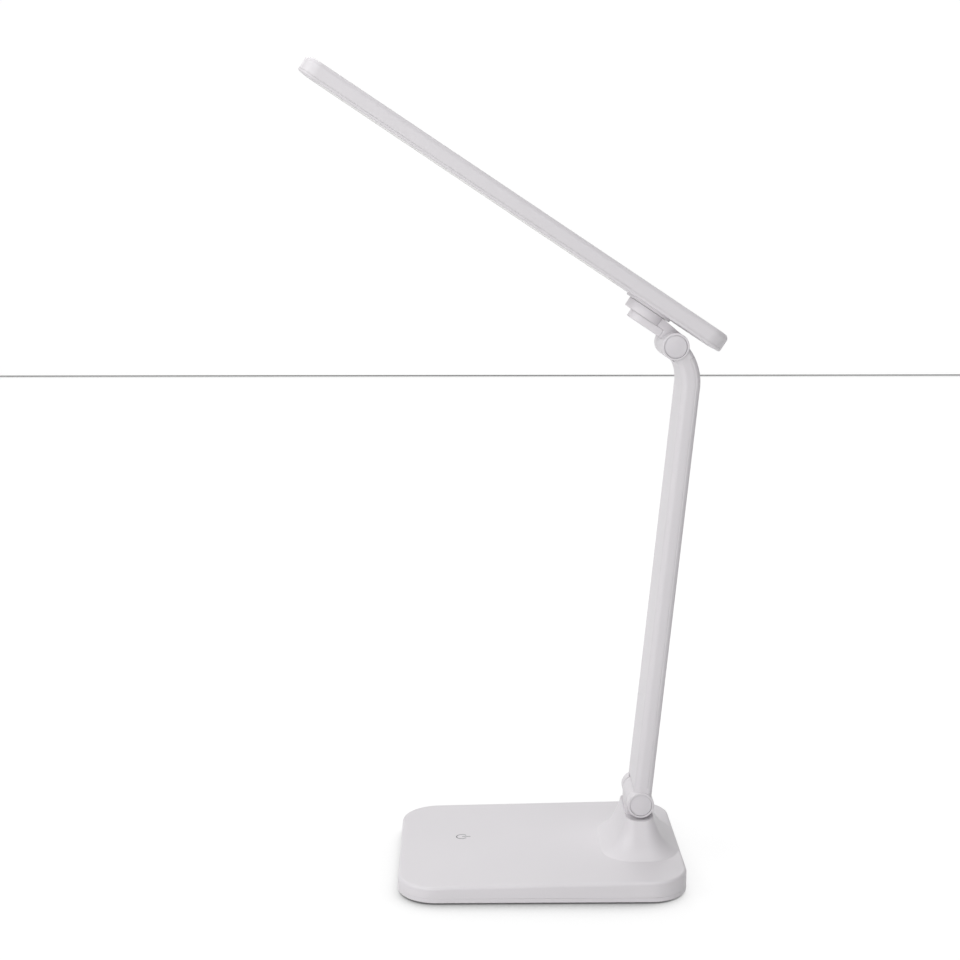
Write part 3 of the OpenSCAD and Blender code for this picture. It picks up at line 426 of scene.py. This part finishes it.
joints = {joint["name"]: joint for joint in frame["record"]["behaviour"]["joints"]}
homes = {  # where each body's own frame stands at rest, and how it leans
    "base": {"place": (0, 0, 0), "lean": 0},
    "arm": {"place": joints["arm_tilt"]["pos_m"], "lean": 5.5},
    "neck": {"place": joints["head_tilt"]["pos_m"], "lean": 33.4},
    "head": {"place": joints["head_tilt"]["pos_m"], "lean": 33.4},
}
smoothBelow = 32  # degrees between faces that read as one surface


def settle(piece, body, slotName, *nodes):  # to its place on the lamp, with the finish its slot name picks and under its body; the nodes it stands for are hidden
    only(piece)
    home = homes[body]
    piece.location = home["place"]
    piece.rotation_euler = (0, math.radians(home["lean"]), 0)
    bpy.ops.object.transform_apply(location=True, rotation=True, scale=True)
    bpy.ops.object.shade_smooth_by_angle(angle=math.radians(smoothBelow))
    flat = piece.modifiers.new("flat", "WEIGHTED_NORMAL")
    flat.keep_sharp = True
    bpy.ops.object.modifier_apply(modifier=flat.name)
    piece.data.materials.clear()
    piece.data.materials.append(finishMade[slotFinish[slotName]])
    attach(piece, body)
    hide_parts(*nodes)


# base

base = {
    "length": 150, "width": 116, "corner": 20, "cornerSteps": 18, "edge": 1.6, "edgeSteps": 6, "wall": 1.8,
    "frontHeight": 8.9, "rearHeight": 11.8, "shellBottom": 3.28,
    "plateBottom": 0.8, "plateTop": 3.2, "plateEdge": 0.6,
    "padInset": 6, "padThick": 1.4, "padEdge": 0.5, "padSeat": 0.61,
    "screwInset": 12, "postRadius": 3, "pilotRadius": 1.25, "pilotTop": 6.8,
    "screwHole": 1.3, "screwHead": 2.3, "screwSeat": 2.5,
    "ballastScrews": (12, 38, 1.05, 1.4), "boardPosts": (49.1, 70.1, 19.5, 1.8, 4.0), "root": 0.2,
    "inlet": {"width": 9.4, "height": 3.7, "z": 6.85, "start": 72.2, "end": 76.2},
}
pedestal = {
    "x": 53.3, "z": 37, "halfX": 7.4, "halfY": 18.7, "corner": 4.5, "cornerSteps": 16,
    "reach": 13.4, "soft": 11, "steps": 22, "crowding": 1.3, "root": 1.5, "spare": 2,
    "dishRadius": 24, "dishLow": 28.8, "dishSides": 104,
    "knuckleHalf": 10, "barrel": 7, "knuckleEdge": 0.4, "bore": 2.05,
    "hollow": (5.0, 16.3, 27.0), "shaft": (3, 7, 29.6), "roomCorner": 2, "roomSteps": 6,
    "through": 30,  # half the length of what cuts from side to side
}
powerSymbol = {
    "x": -41.7, "y": 9, "radius": 2.9, "line": 0.55, "gap": 70, "steps": 72, "depth": 0.3, "slack": 0.02,
    "barStart": 0.05, "bar": 4.64,  # the bar starts at this share of the radius
}


def topAt(x):
    rise = base["rearHeight"] - base["frontHeight"]
    return base["frontHeight"] + rise * (x + base["length"] / 2) / base["length"]


baseTilt = math.atan((base["rearHeight"] - base["frontHeight"]) / base["length"])


def wedge(name, inset, bottom, drop):  # a block as the base is outside or inside, with a sloping top
    halfL, halfW = base["length"] / 2 - inset, base["width"] / 2 - inset
    front, rear = topAt(-halfL) - drop, topAt(halfL) - drop
    piece = addBlock(name, (-halfL, -halfW, bottom), (halfL, halfW, front))
    pick(piece, "EDGE", lambda at, along: near(at.x, halfL) and near(at.z, front))
    bpy.ops.transform.translate(value=(0, 0, (rear - front) * mm))
    bpy.ops.object.mode_set(mode="OBJECT")
    soften(piece, base["corner"] - inset, base["cornerSteps"], lambda at, along: abs(along.z) > 0.99)
    return piece


def fourCorners(inset):
    x, y = base["length"] / 2 - inset, base["width"] / 2 - inset
    return [(i * x, j * y) for i in (-1, 1) for j in (-1, 1)]


def makeFoot():  # the flared foot: one outline drawn in and lifted again and again
    look = pedestal
    ground = topAt(look["x"])
    dishTop = look["dishLow"] + look["dishRadius"]
    rise = dishTop - math.sqrt(look["dishRadius"] ** 2 - look["halfX"] ** 2) - ground

    def outAt(height):
        far = 1 / (rise + look["soft"])
        return look["reach"] * (1 / (height + look["soft"]) - far) / (1 / look["soft"] - far)

    x, y = look["halfX"] + look["reach"], look["halfY"] + look["reach"]
    foot = addBlock("baseTopShell", (-x, -y, -look["root"]), (x, y, 0))
    soften(foot, look["corner"] + look["reach"], look["cornerSteps"], lambda at, along: abs(along.z) > 0.99)
    pick(foot, "FACE", lambda at, normal: normal.z > 0.9)
    heights = [rise * (i / look["steps"]) ** look["crowding"] for i in range(look["steps"] + 1)]
    for low, high in zip(heights, heights[1:]):
        bpy.ops.mesh.inset(thickness=(outAt(low) - outAt(high)) * mm, depth=(high - low) * mm)
    bpy.ops.mesh.extrude_region_move(TRANSFORM_OT_translate={"value": (0, 0, look["spare"] * mm)})
    bpy.ops.object.mode_set(mode="OBJECT")
    only(foot)
    foot.location = (look["x"] * mm, 0, ground * mm)
    foot.rotation_euler = (0, -baseTilt, 0)
    bpy.ops.object.transform_apply(location=True, rotation=True, scale=True)
    cut(foot, addDrum("dish", look["dishRadius"], (look["x"], -look["through"], dishTop),
                      (look["x"], look["through"], dishTop), sides=look["dishSides"]))
    return foot


def makeKnuckle():
    look = pedestal
    half, x, z = look["knuckleHalf"], look["x"], look["z"]
    knuckle = addDrum("knuckle", look["barrel"], (x, -half, z), (x, half, z), sides=rimSides)
    fuse(knuckle, addBlock("web", (x - look["barrel"], -half, look["dishLow"] - 1),
                           (x + look["barrel"], half, z)))
    tidyFaces(knuckle)
    soften(knuckle, look["knuckleEdge"], 3,
           lambda at, along: near(abs(at.y), half) and at.z > look["dishLow"] + 0.5)
    return knuckle


def markTool(grow, name, lift):  # ring with a gap and a bar: the pocket that the inlay lies in
    look = powerSymbol
    wide, deep = look["line"] / 2 + grow, look["depth"] / 2 + lift / 2
    ring = addBlock(name, (look["radius"] - wide, -0.01, -deep), (look["radius"] + wide, 0, deep))
    pick(ring, "FACE", lambda at, normal: normal.y > 0.9)
    bpy.ops.mesh.spin(steps=look["steps"], angle=math.radians(360 - look["gap"]), center=(0, 0, 0),
                      axis=(0, 0, -1))
    bpy.ops.mesh.select_all(action="SELECT")
    bpy.ops.mesh.normals_make_consistent(inside=False)
    bpy.ops.object.mode_set(mode="OBJECT")
    only(ring)
    ring.rotation_euler = (0, 0, math.radians(look["gap"] / 2))
    bpy.ops.object.transform_apply(location=True, rotation=True, scale=True)
    fuse(ring, addBlock("bar", (look["radius"] * look["barStart"] - grow, -wide, -deep),
                        (look["radius"] * look["barStart"] + look["bar"] + grow, wide, deep)))
    only(ring)
    ring.location = (look["x"] * mm, look["y"] * mm, (topAt(look["x"]) - look["depth"] / 2 + lift / 2) * mm)
    ring.rotation_euler = (0, -baseTilt, 0)
    bpy.ops.object.transform_apply(location=True, rotation=True, scale=True)
    return ring


def makeBaseShell():
    look = pedestal
    shell = wedge("baseBody", 0, base["shellBottom"], 0)
    soften(shell, base["edge"], base["edgeSteps"],
           lambda at, along: near(at.z, topAt(at.x), 0.02) and at.z > base["shellBottom"] + 1)
    foot = makeFoot()
    fuse(foot, shell)
    cut(foot, wedge("room", base["wall"], base["shellBottom"] - 1, base["wall"]))
    for x, y in fourCorners(base["screwInset"]):
        top = topAt(x) - base["wall"] / 2
        fuse(foot, addDrum("post", base["postRadius"], (x, y, base["shellBottom"]), (x, y, top),
                           sides=postSides))
        cut(foot, addDrum("pilot", base["pilotRadius"], (x, y, 0), (x, y, base["pilotTop"]),
                          sides=holeSides))
    fuse(foot, makeKnuckle())
    for halfX, halfY, top in (look["hollow"], look["shaft"]):
        room = addBlock("room", (look["x"] - halfX, -halfY, base["shellBottom"] - 1),
                        (look["x"] + halfX, halfY, top))
        soften(room, look["roomCorner"], look["roomSteps"], lambda at, along: abs(along.z) > 0.99)
        cut(foot, room)
    cut(foot, addDrum("bore", look["bore"], (look["x"], -look["through"], look["z"]),
                      (look["x"], look["through"], look["z"]), sides=boreSides))
    port = base["inlet"]
    mouth = addBlock("mouth", (port["start"], -port["width"] / 2, port["z"] - port["height"] / 2),
                     (port["end"], port["width"] / 2, port["z"] + port["height"] / 2))
    soften(mouth, port["height"] / 2 - 0.001, 10, lambda at, along: abs(along.x) > 0.99)
    cut(foot, mouth)
    cut(foot, markTool(powerSymbol["slack"], "pocket", 1))
    tidyFaces(foot)
    settle(foot, "base", "white_shell", "base_top_shell")


def makeBottomPlate():
    halfL, halfW = base["length"] / 2, base["width"] / 2
    plate = addBlock("baseBottomPlate", (-halfL, -halfW, base["plateBottom"]),
                     (halfL, halfW, base["plateTop"]))
    soften(plate, base["corner"], base["cornerSteps"], lambda at, along: abs(along.z) > 0.99)
    soften(plate, base["plateEdge"], 4, lambda at, along: near(at.z, base["plateBottom"]))
    pick(plate, "FACE", lambda at, normal: normal.z < -0.99 and near(at.z, base["plateBottom"]))
    bpy.ops.mesh.inset(thickness=(base["padInset"] - base["plateEdge"] - 0.1) * mm)
    bpy.ops.mesh.extrude_region_move(TRANSFORM_OT_translate={"value": (0, 0, base["padSeat"] * mm)})
    bpy.ops.object.mode_set(mode="OBJECT")
    for x, y in fourCorners(base["screwInset"]):
        cut(plate, addDrum("hole", base["screwHole"], (x, y, 0), (x, y, 5), sides=holeSides),
            addDrum("seat", base["screwHead"], (x, y, 0), (x, y, base["screwSeat"]), sides=postSides))
    x, y, hole, deep = base["ballastScrews"]
    for side in (-1, 1):
        cut(plate, addDrum("hole", hole, (x, side * y, base["plateTop"] - deep), (x, side * y, 5),
                           sides=holeSides))
    front, rear, y, radius, top = base["boardPosts"]
    for x, side in ((front, -1), (front, 1), (rear, -1), (rear, 1)):
        fuse(plate, addDrum("post", radius, (x, side * y, base["plateTop"] - base["root"]),
                            (x, side * y, top), sides=postSides))
    tidyFaces(plate)
    settle(plate, "base", "white_shell", "base_bottom_plate")


def makePad():
    halfL, halfW = base["length"] / 2 - base["padInset"], base["width"] / 2 - base["padInset"]
    pad = addBlock("nonSlipPad", (-halfL, -halfW, 0), (halfL, halfW, base["padThick"]))
    soften(pad, base["corner"] - base["padInset"], base["cornerSteps"], lambda at, along: abs(along.z) > 0.99)
    soften(pad, base["padEdge"], 3, lambda at, along: near(at.z, 0))
    settle(pad, "base", "pad_rubber", "non_slip_pad")


# arm, in its own frame: x rearward, z along the arm from the lower hinge

arm = {
    "front": -4.2, "rear": 5.4, "half": 16.5, "frontEdge": 3.2, "rearEdge": 2.2, "rearProfile": 0.4,
    "bendX": -23.6, "bendZ": 223.379, "bendAngle": 55.13, "bendSteps": 28,
    "coverX": 2.5, "coverStart": 9.5, "coverAngle": 33.13, "seam": 0.08, "seamAngle": 0.3,
    "wall": 1.5, "root": 0.7, "roomStart": 10.9, "roomAngle": 29.13,
    "screwHeights": (32, 121.7, 201.4), "screwSide": 11.5, "postRadius": 2.2, "pilotRadius": 0.95,
    "pilotStart": 0.4, "screwHole": 1.0, "screwHead": 1.9, "screwSeat": 4.5,
    "behind": 9, "beside": 20,  # where what cuts the arm ends, outside it
}
hinge = {
    "top": (-9.65, 243.4), "radius": 7, "outer": 17.5, "rim": 0.6, "slot": 8.9, "bore": 2.05,
    "lowInner": 10.6, "highInner": 7.6, "capRadius": 5.8, "capSeat": 16.15, "capRim": 17.12, "capEdge": 0.3,
    "capDome": (0.09, 0.08, 0.06, 0.045, 0.03, 0.015), "capStep": 0.85,
    "pocketRadius": 5.9, "pocketSeat": 16.1, "headRadius": 3.6, "headSeat": 13.85,
    "nutRadius": 3.8, "nutSeat": 13.45,
}


def armScrews():
    return [(z, side * arm["screwSide"]) for z in arm["screwHeights"] for side in (-1, 1)]


def makeArmShell():
    look = arm
    shell = addBlock("armFrontShell", (look["front"], -look["half"], 0),
                     (look["rear"], look["half"], look["bendZ"]))
    soften(shell, look["frontEdge"], 8, lambda at, along: abs(along.z) > 0.99 and at.x < 0)
    soften(shell, look["rearEdge"], 5, lambda at, along: abs(along.z) > 0.99 and near(at.x, look["rear"]),
           look["rearProfile"])
    spinTop(shell, look["bendZ"], look["bendX"], look["bendAngle"], look["bendSteps"])
    recess = addBlock("recess", (look["coverX"], -look["beside"], look["coverStart"]),
                      (look["behind"], look["beside"], look["bendZ"]))
    spinTop(recess, look["bendZ"], look["bendX"], look["coverAngle"], look["bendSteps"])
    room = addBlock("room", (look["front"] + look["wall"], -look["half"] + look["wall"], look["roomStart"]),
                    (look["behind"], look["half"] - look["wall"], look["bendZ"]))
    spinTop(room, look["bendZ"], look["bendX"], look["roomAngle"], look["bendSteps"])
    cut(shell, recess, room)
    for z, y in armScrews():
        fuse(shell, addDrum("post", look["postRadius"], (look["front"] + look["root"], y, z),
                            (look["coverX"], y, z), sides=postSides))
        cut(shell, addDrum("pilot", look["pilotRadius"], (look["pilotStart"], y, z),
                           (look["behind"], y, z), sides=holeSides))
    far = look["beside"]
    for (x, z), inner in (((0, 0), hinge["lowInner"]), (hinge["top"], hinge["highInner"])):
        for side in (-1, 1):
            ear = addDrum("ear", hinge["radius"], (x, side * inner, z), (x, side * hinge["outer"], z),
                          sides=rimSides)
            soften(ear, hinge["rim"], 4, lambda at, along: near(abs(at.y), hinge["outer"]))
            fuse(shell, ear)
        cut(shell, addDrum("slot", hinge["slot"], (x, -inner, z), (x, inner, z), sides=rimSides),
            addDrum("bore", hinge["bore"], (x, -far, z), (x, far, z), sides=boreSides),
            addDrum("pocket", hinge["pocketRadius"], (x, hinge["pocketSeat"], z), (x, far, z)),
            addDrum("pocket", hinge["pocketRadius"], (x, -hinge["pocketSeat"], z), (x, -far, z)),
            addDrum("head", hinge["headRadius"], (x, -hinge["headSeat"], z), (x, -far, z), sides=boreSides),
            addDrum("nut", hinge["nutRadius"], (x, hinge["nutSeat"], z), (x, far, z), sides=nutSides))
    tidyFaces(shell)
    settle(shell, "arm", "white_shell", "arm_front_shell")


def makeArmCover():
    look = arm
    seam = look["seam"]
    cover = addBlock("armRearCover", (look["coverX"] + seam, -look["half"], look["coverStart"] + seam),
                     (look["rear"], look["half"], look["bendZ"]))
    soften(cover, look["rearEdge"], 5, lambda at, along: abs(along.z) > 0.99 and near(at.x, look["rear"]),
           look["rearProfile"])
    spinTop(cover, look["bendZ"], look["bendX"], look["coverAngle"] - look["seamAngle"], look["bendSteps"])
    for z, y in armScrews():
        cut(cover, addDrum("hole", look["screwHole"], (0, y, z), (look["behind"], y, z), sides=holeSides),
            addDrum("seat", look["screwHead"], (look["screwSeat"], y, z), (look["behind"], y, z),
                    sides=postSides))
    tidyFaces(cover)
    settle(cover, "arm", "white_shell", "arm_rear_cover")


def makeCaps(name, x, z, node):  # a slightly domed cap, and the same one turned round for the other side
    look = hinge
    cap = addDrum(name, look["capRadius"], (x, look["capSeat"], z), (x, look["capRim"], z))
    pick(cap, "FACE", lambda at, normal: normal.y > 0.9)
    for rise in look["capDome"]:
        bpy.ops.mesh.inset(thickness=look["capStep"] * mm, depth=rise * mm)
    bpy.ops.object.mode_set(mode="OBJECT")
    soften(cap, look["capEdge"], 3, lambda at, along: near(at.y, look["capRim"], 0.004))
    twin = cap.copy()
    twin.data = cap.data.copy()
    bpy.context.scene.collection.objects.link(twin)
    only(twin)
    twin.rotation_euler = (0, 0, math.pi)
    twin.location = (2 * x * mm, 0, 0)
    bpy.ops.object.transform_apply(location=True, rotation=True, scale=True)
    only(cap)
    twin.select_set(True)
    bpy.ops.object.join()
    settle(cap, "arm", "white_cap", node)


# neck and head, in the head's frame: x rearward along the head, z towards its top, origin on the upper hinge

neck = {
    "swivel": -20.8, "collar": 10.8, "collarLow": 3.5, "collarTop": 8.4, "collarEdge": 0.4,
    "half": 7, "front": -12.3, "frontTop": 8.3, "step": -8.6, "bottom": -0.5, "edge": 0.35,
    "barrel": 7, "bore": 2.05, "stud": 3.55, "flange": 5.6, "flangeTop": 4.8,
    "channelHalf": 2, "channelTop": 5.65, "screwX": -10.9, "screwY": 4.4, "pilot": 0.95, "pilotTop": 7.1,
    "coverTop": 3.42, "coverEdge": 0.6, "seam": 0.08, "screwHole": 1.0, "screwHead": 1.8, "screwSeat": 0.5,
    "boss": 13.2, "bossLow": 8.5, "bossTop": 9.8, "bossEdge": 0.5, "spigot": 6, "spigotTop": 12.0,
    "bossScrews": 9.4, "bossPilot": 0.85, "bossPilotLow": 8.8, "root": 0.2,
    "beside": 9, "above": 12, "below": -2,  # where what cuts the neck ends, outside it
}


def makeNeckShell():
    look = neck
    x = look["swivel"]
    shell = addBlock("neckUpperShell", (look["front"], -look["half"], look["bottom"]),
                     (0, look["half"], look["frontTop"]))
    pick(shell, "EDGE", lambda at, along: near(at.x, 0) and near(at.z, look["frontTop"]))
    bpy.ops.transform.translate(value=(0, 0, (look["barrel"] - look["frontTop"]) * mm))
    bpy.ops.object.mode_set(mode="OBJECT")
    cut(shell, addBlock("step", (look["front"] - 1, -look["beside"], look["bottom"] - 1),
                        (look["step"], look["beside"], look["collarLow"])))
    fuse(shell, addDrum("barrel", look["barrel"], (0, -look["half"], 0), (0, look["half"], 0),
                        sides=rimSides))
    tidyFaces(shell)
    soften(shell, look["edge"], 3, lambda at, along: near(abs(at.y), look["half"]))
    collar = addDrum("collar", look["collar"], (x, 0, look["collarLow"]), (x, 0, look["collarTop"]),
                     sides=rimSides)
    soften(collar, look["collarEdge"], 3, lambda at, along: abs(along.z) < 0.1)
    fuse(shell, collar)
    cut(shell, addDrum("bore", look["bore"], (0, -look["above"], 0), (0, look["above"], 0), sides=boreSides),
        addDrum("stud", look["stud"], (x, 0, 0), (x, 0, look["above"]), sides=studSides),
        addDrum("flange", look["flange"], (x, 0, 0), (x, 0, look["flangeTop"]), sides=studSides),
        addBlock("channel", (x, -look["channelHalf"], look["collarLow"] - 0.1),
                 (look["step"] + 1, look["channelHalf"], look["channelTop"])))
    for side in (-1, 1):
        at = (look["screwX"], side * look["screwY"])
        cut(shell, addDrum("pilot", look["pilot"], (*at, look["collarLow"] - 1), (*at, look["pilotTop"]),
                           sides=holeSides))
    tidyFaces(shell)
    settle(shell, "neck", "white_shell", "neck_upper_shell")


def makeNeckCover():
    look = neck
    x = look["swivel"]
    cover = addDrum("neckLowerCover", look["half"], (x, 0, look["bottom"]), (x, 0, look["coverTop"]),
                    sides=rimSides)
    fuse(cover, addBlock("tail", (x, -look["half"], look["bottom"]),
                         (look["step"] - look["seam"], look["half"], look["coverTop"])))
    tidyFaces(cover)
    soften(cover, look["coverEdge"], 4,
           lambda at, along: near(at.z, look["bottom"]) and at.x < look["step"] - 0.2)
    for side in (-1, 1):
        at = (look["screwX"], side * look["screwY"])
        cut(cover, addDrum("hole", look["screwHole"], (*at, look["below"]), (*at, 5), sides=holeSides),
            addDrum("seat", look["screwHead"], (*at, look["below"]), (*at, look["screwSeat"]),
                    sides=postSides))
    tidyFaces(cover)
    settle(cover, "neck", "white_shell", "neck_lower_cover")


def bossScrews():  # three round the swivel, none where the neck's tail would cover it
    turns = [math.radians(angle) for angle in (90, 180, 270)]
    reach = neck["bossScrews"]
    return [(neck["swivel"] + reach * math.cos(turn), reach * math.sin(turn)) for turn in turns]


def makeBoss():
    look = neck
    x = look["swivel"]
    boss = addDrum("swivelBoss", look["boss"], (x, 0, look["bossLow"]), (x, 0, look["bossTop"]),
                   sides=rimSides)
    soften(boss, look["bossEdge"], 4, lambda at, along: near(at.z, look["bossLow"]))
    fuse(boss, addDrum("spigot", look["spigot"], (x, 0, look["bossLow"] + look["root"]),
                       (x, 0, look["spigotTop"])))
    cut(boss, addDrum("bore", look["stud"], (x, 0, head["under"]), (x, 0, head["over"]), sides=studSides))
    for at in bossScrews():
        cut(boss, addDrum("pilot", look["bossPilot"], (*at, look["bossPilotLow"]), (*at, look["above"]),
                          sides=holeSides))
    tidyFaces(boss)
    settle(boss, "head", "white_shell", "swivel_boss")


head = {
    "tip": -232.5, "rear": 20, "half": 25, "bottom": 9.8, "top": 19.0, "corner": 10, "cornerSteps": 14,
    "split": 11.4, "seam": 0.08, "edge": 2.6, "wall": 1.5, "ceiling": 17.5, "bevel": 1.0,
    "screws": ((-227.9, 14), (-37, 19), (13, 17)), "postRadius": 2, "pilotRadius": 0.95, "pilotTop": 14.9,
    "screwHole": 1.0, "screwHead": 1.8, "screwSeat": 10.7,
    "window": (-223.5, -42, 20, 3), "windowEdge": 0.3, "spigotHole": 6.1, "bossHole": 0.9,
    "diffuserLow": 10.0, "lipLow": 11.43, "lipTop": 12.4, "lip": 1.2, "slack": 0.1, "diffuserEdge": 0.25,
    "ribs": {"bottom": 15.4, "half": 17.2, "thick": 0.6, "pitch": 61.3},
    "root": 0.2,  # how far ribs and posts run into the ceiling
    "under": 5, "over": 15,  # where what cuts the frame ends, outside it
}


def headScrews():
    return [(x, side * y) for x, y in head["screws"] for side in (-1, 1)]


def windowBlock(name, grow, bottom, top):
    look = head
    front, back, half, corner = look["window"]
    piece = addBlock(name, (front - grow, -half - grow, bottom), (back + grow, half + grow, top))
    soften(piece, corner + grow, 8, lambda at, along: abs(along.z) > 0.99)
    return piece


def makeHeadCover():
    look = head
    cover = addBlock("headTopCover", (look["tip"], -look["half"], look["split"] + look["seam"]),
                     (look["rear"], look["half"], look["top"]))
    soften(cover, look["corner"], look["cornerSteps"], lambda at, along: abs(along.z) > 0.99)
    soften(cover, look["edge"], 8, lambda at, along: near(at.z, look["top"]))
    pick(cover, "FACE", lambda at, normal: normal.z < -0.9)
    bpy.ops.mesh.inset(thickness=look["wall"] * mm)
    bpy.ops.mesh.extrude_region_move(
        TRANSFORM_OT_translate={"value": (0, 0, (look["ceiling"] - look["split"] - look["seam"]) * mm)})
    bpy.ops.object.mode_set(mode="OBJECT")
    ribs = look["ribs"]
    middle = (look["window"][0] + look["window"][1]) / 2
    for count in (-1, 0, 1):
        x = middle + count * ribs["pitch"]
        fuse(cover, addBlock("rib", (x - ribs["thick"], -ribs["half"], ribs["bottom"]),
                             (x + ribs["thick"], ribs["half"], look["ceiling"] + look["root"])))
    for x, y in headScrews():
        fuse(cover, addDrum("post", look["postRadius"], (x, y, look["split"] + look["seam"]),
                            (x, y, look["ceiling"] + look["root"]), sides=postSides))
        cut(cover, addDrum("pilot", look["pilotRadius"], (x, y, look["under"]), (x, y, look["pilotTop"]),
                           sides=holeSides))
    tidyFaces(cover)
    settle(cover, "head", "white_shell", "head_top_cover")


def makeHeadFrame():
    look = head
    rim = addBlock("headBottomFrame", (look["tip"], -look["half"], look["bottom"]),
                   (look["rear"], look["half"], look["split"]))
    soften(rim, look["corner"], look["cornerSteps"], lambda at, along: abs(along.z) > 0.99)
    soften(rim, look["bevel"], 3, lambda at, along: near(at.z, look["bottom"]))
    cut(rim, windowBlock("window", 0, look["bottom"] - 1, look["split"] + 1))
    front, back, half = look["window"][:3]
    soften(rim, look["windowEdge"], 3, lambda at, along: near(at.z, look["bottom"])
           and front - 0.1 < at.x < back + 0.1 and abs(at.y) < half + 0.1)
    x, low, high = neck["swivel"], look["under"], look["over"]
    cut(rim, addDrum("spigot", look["spigotHole"], (x, 0, low), (x, 0, high)))
    for at in bossScrews():
        cut(rim, addDrum("hole", look["bossHole"], (*at, low), (*at, high), sides=holeSides))
    for at in headScrews():
        cut(rim, addDrum("hole", look["screwHole"], (*at, low), (*at, high), sides=holeSides),
            addDrum("seat", look["screwHead"], (*at, low), (*at, look["screwSeat"]), sides=postSides))
    tidyFaces(rim)
    settle(rim, "head", "white_shell", "head_bottom_frame")


def makeDiffuser():
    look = head
    panel = windowBlock("diffuserPanel", -look["slack"], look["diffuserLow"], look["split"] + 0.1)
    soften(panel, look["diffuserEdge"], 3, lambda at, along: near(at.z, look["diffuserLow"]))
    fuse(panel, windowBlock("lip", look["lip"], look["lipLow"], look["lipTop"]))
    tidyFaces(panel)
    settle(panel, "head", "milky_diffuser", "diffuser_panel")


bpy.context.scene.view_settings.view_transform = "Standard"
addCamera(cameraLook)
addLights()
addSky()
addFloor()
print("camera, lights and floor are in place")
finishMade = dressNodes()
print("materials are on")

makeBaseShell()
makeBottomPlate()
makePad()
print("base is modelled")
makeArmShell()
makeArmCover()
makeCaps("lowerHingeCaps", 0, 0, "lower_hinge_caps")
makeCaps("upperHingeCaps", *hinge["top"], "upper_hinge_caps")
print("arm is modelled")
makeNeckShell()
makeNeckCover()
makeBoss()
makeHeadCover()
makeHeadFrame()
makeDiffuser()
print("neck and head are modelled")
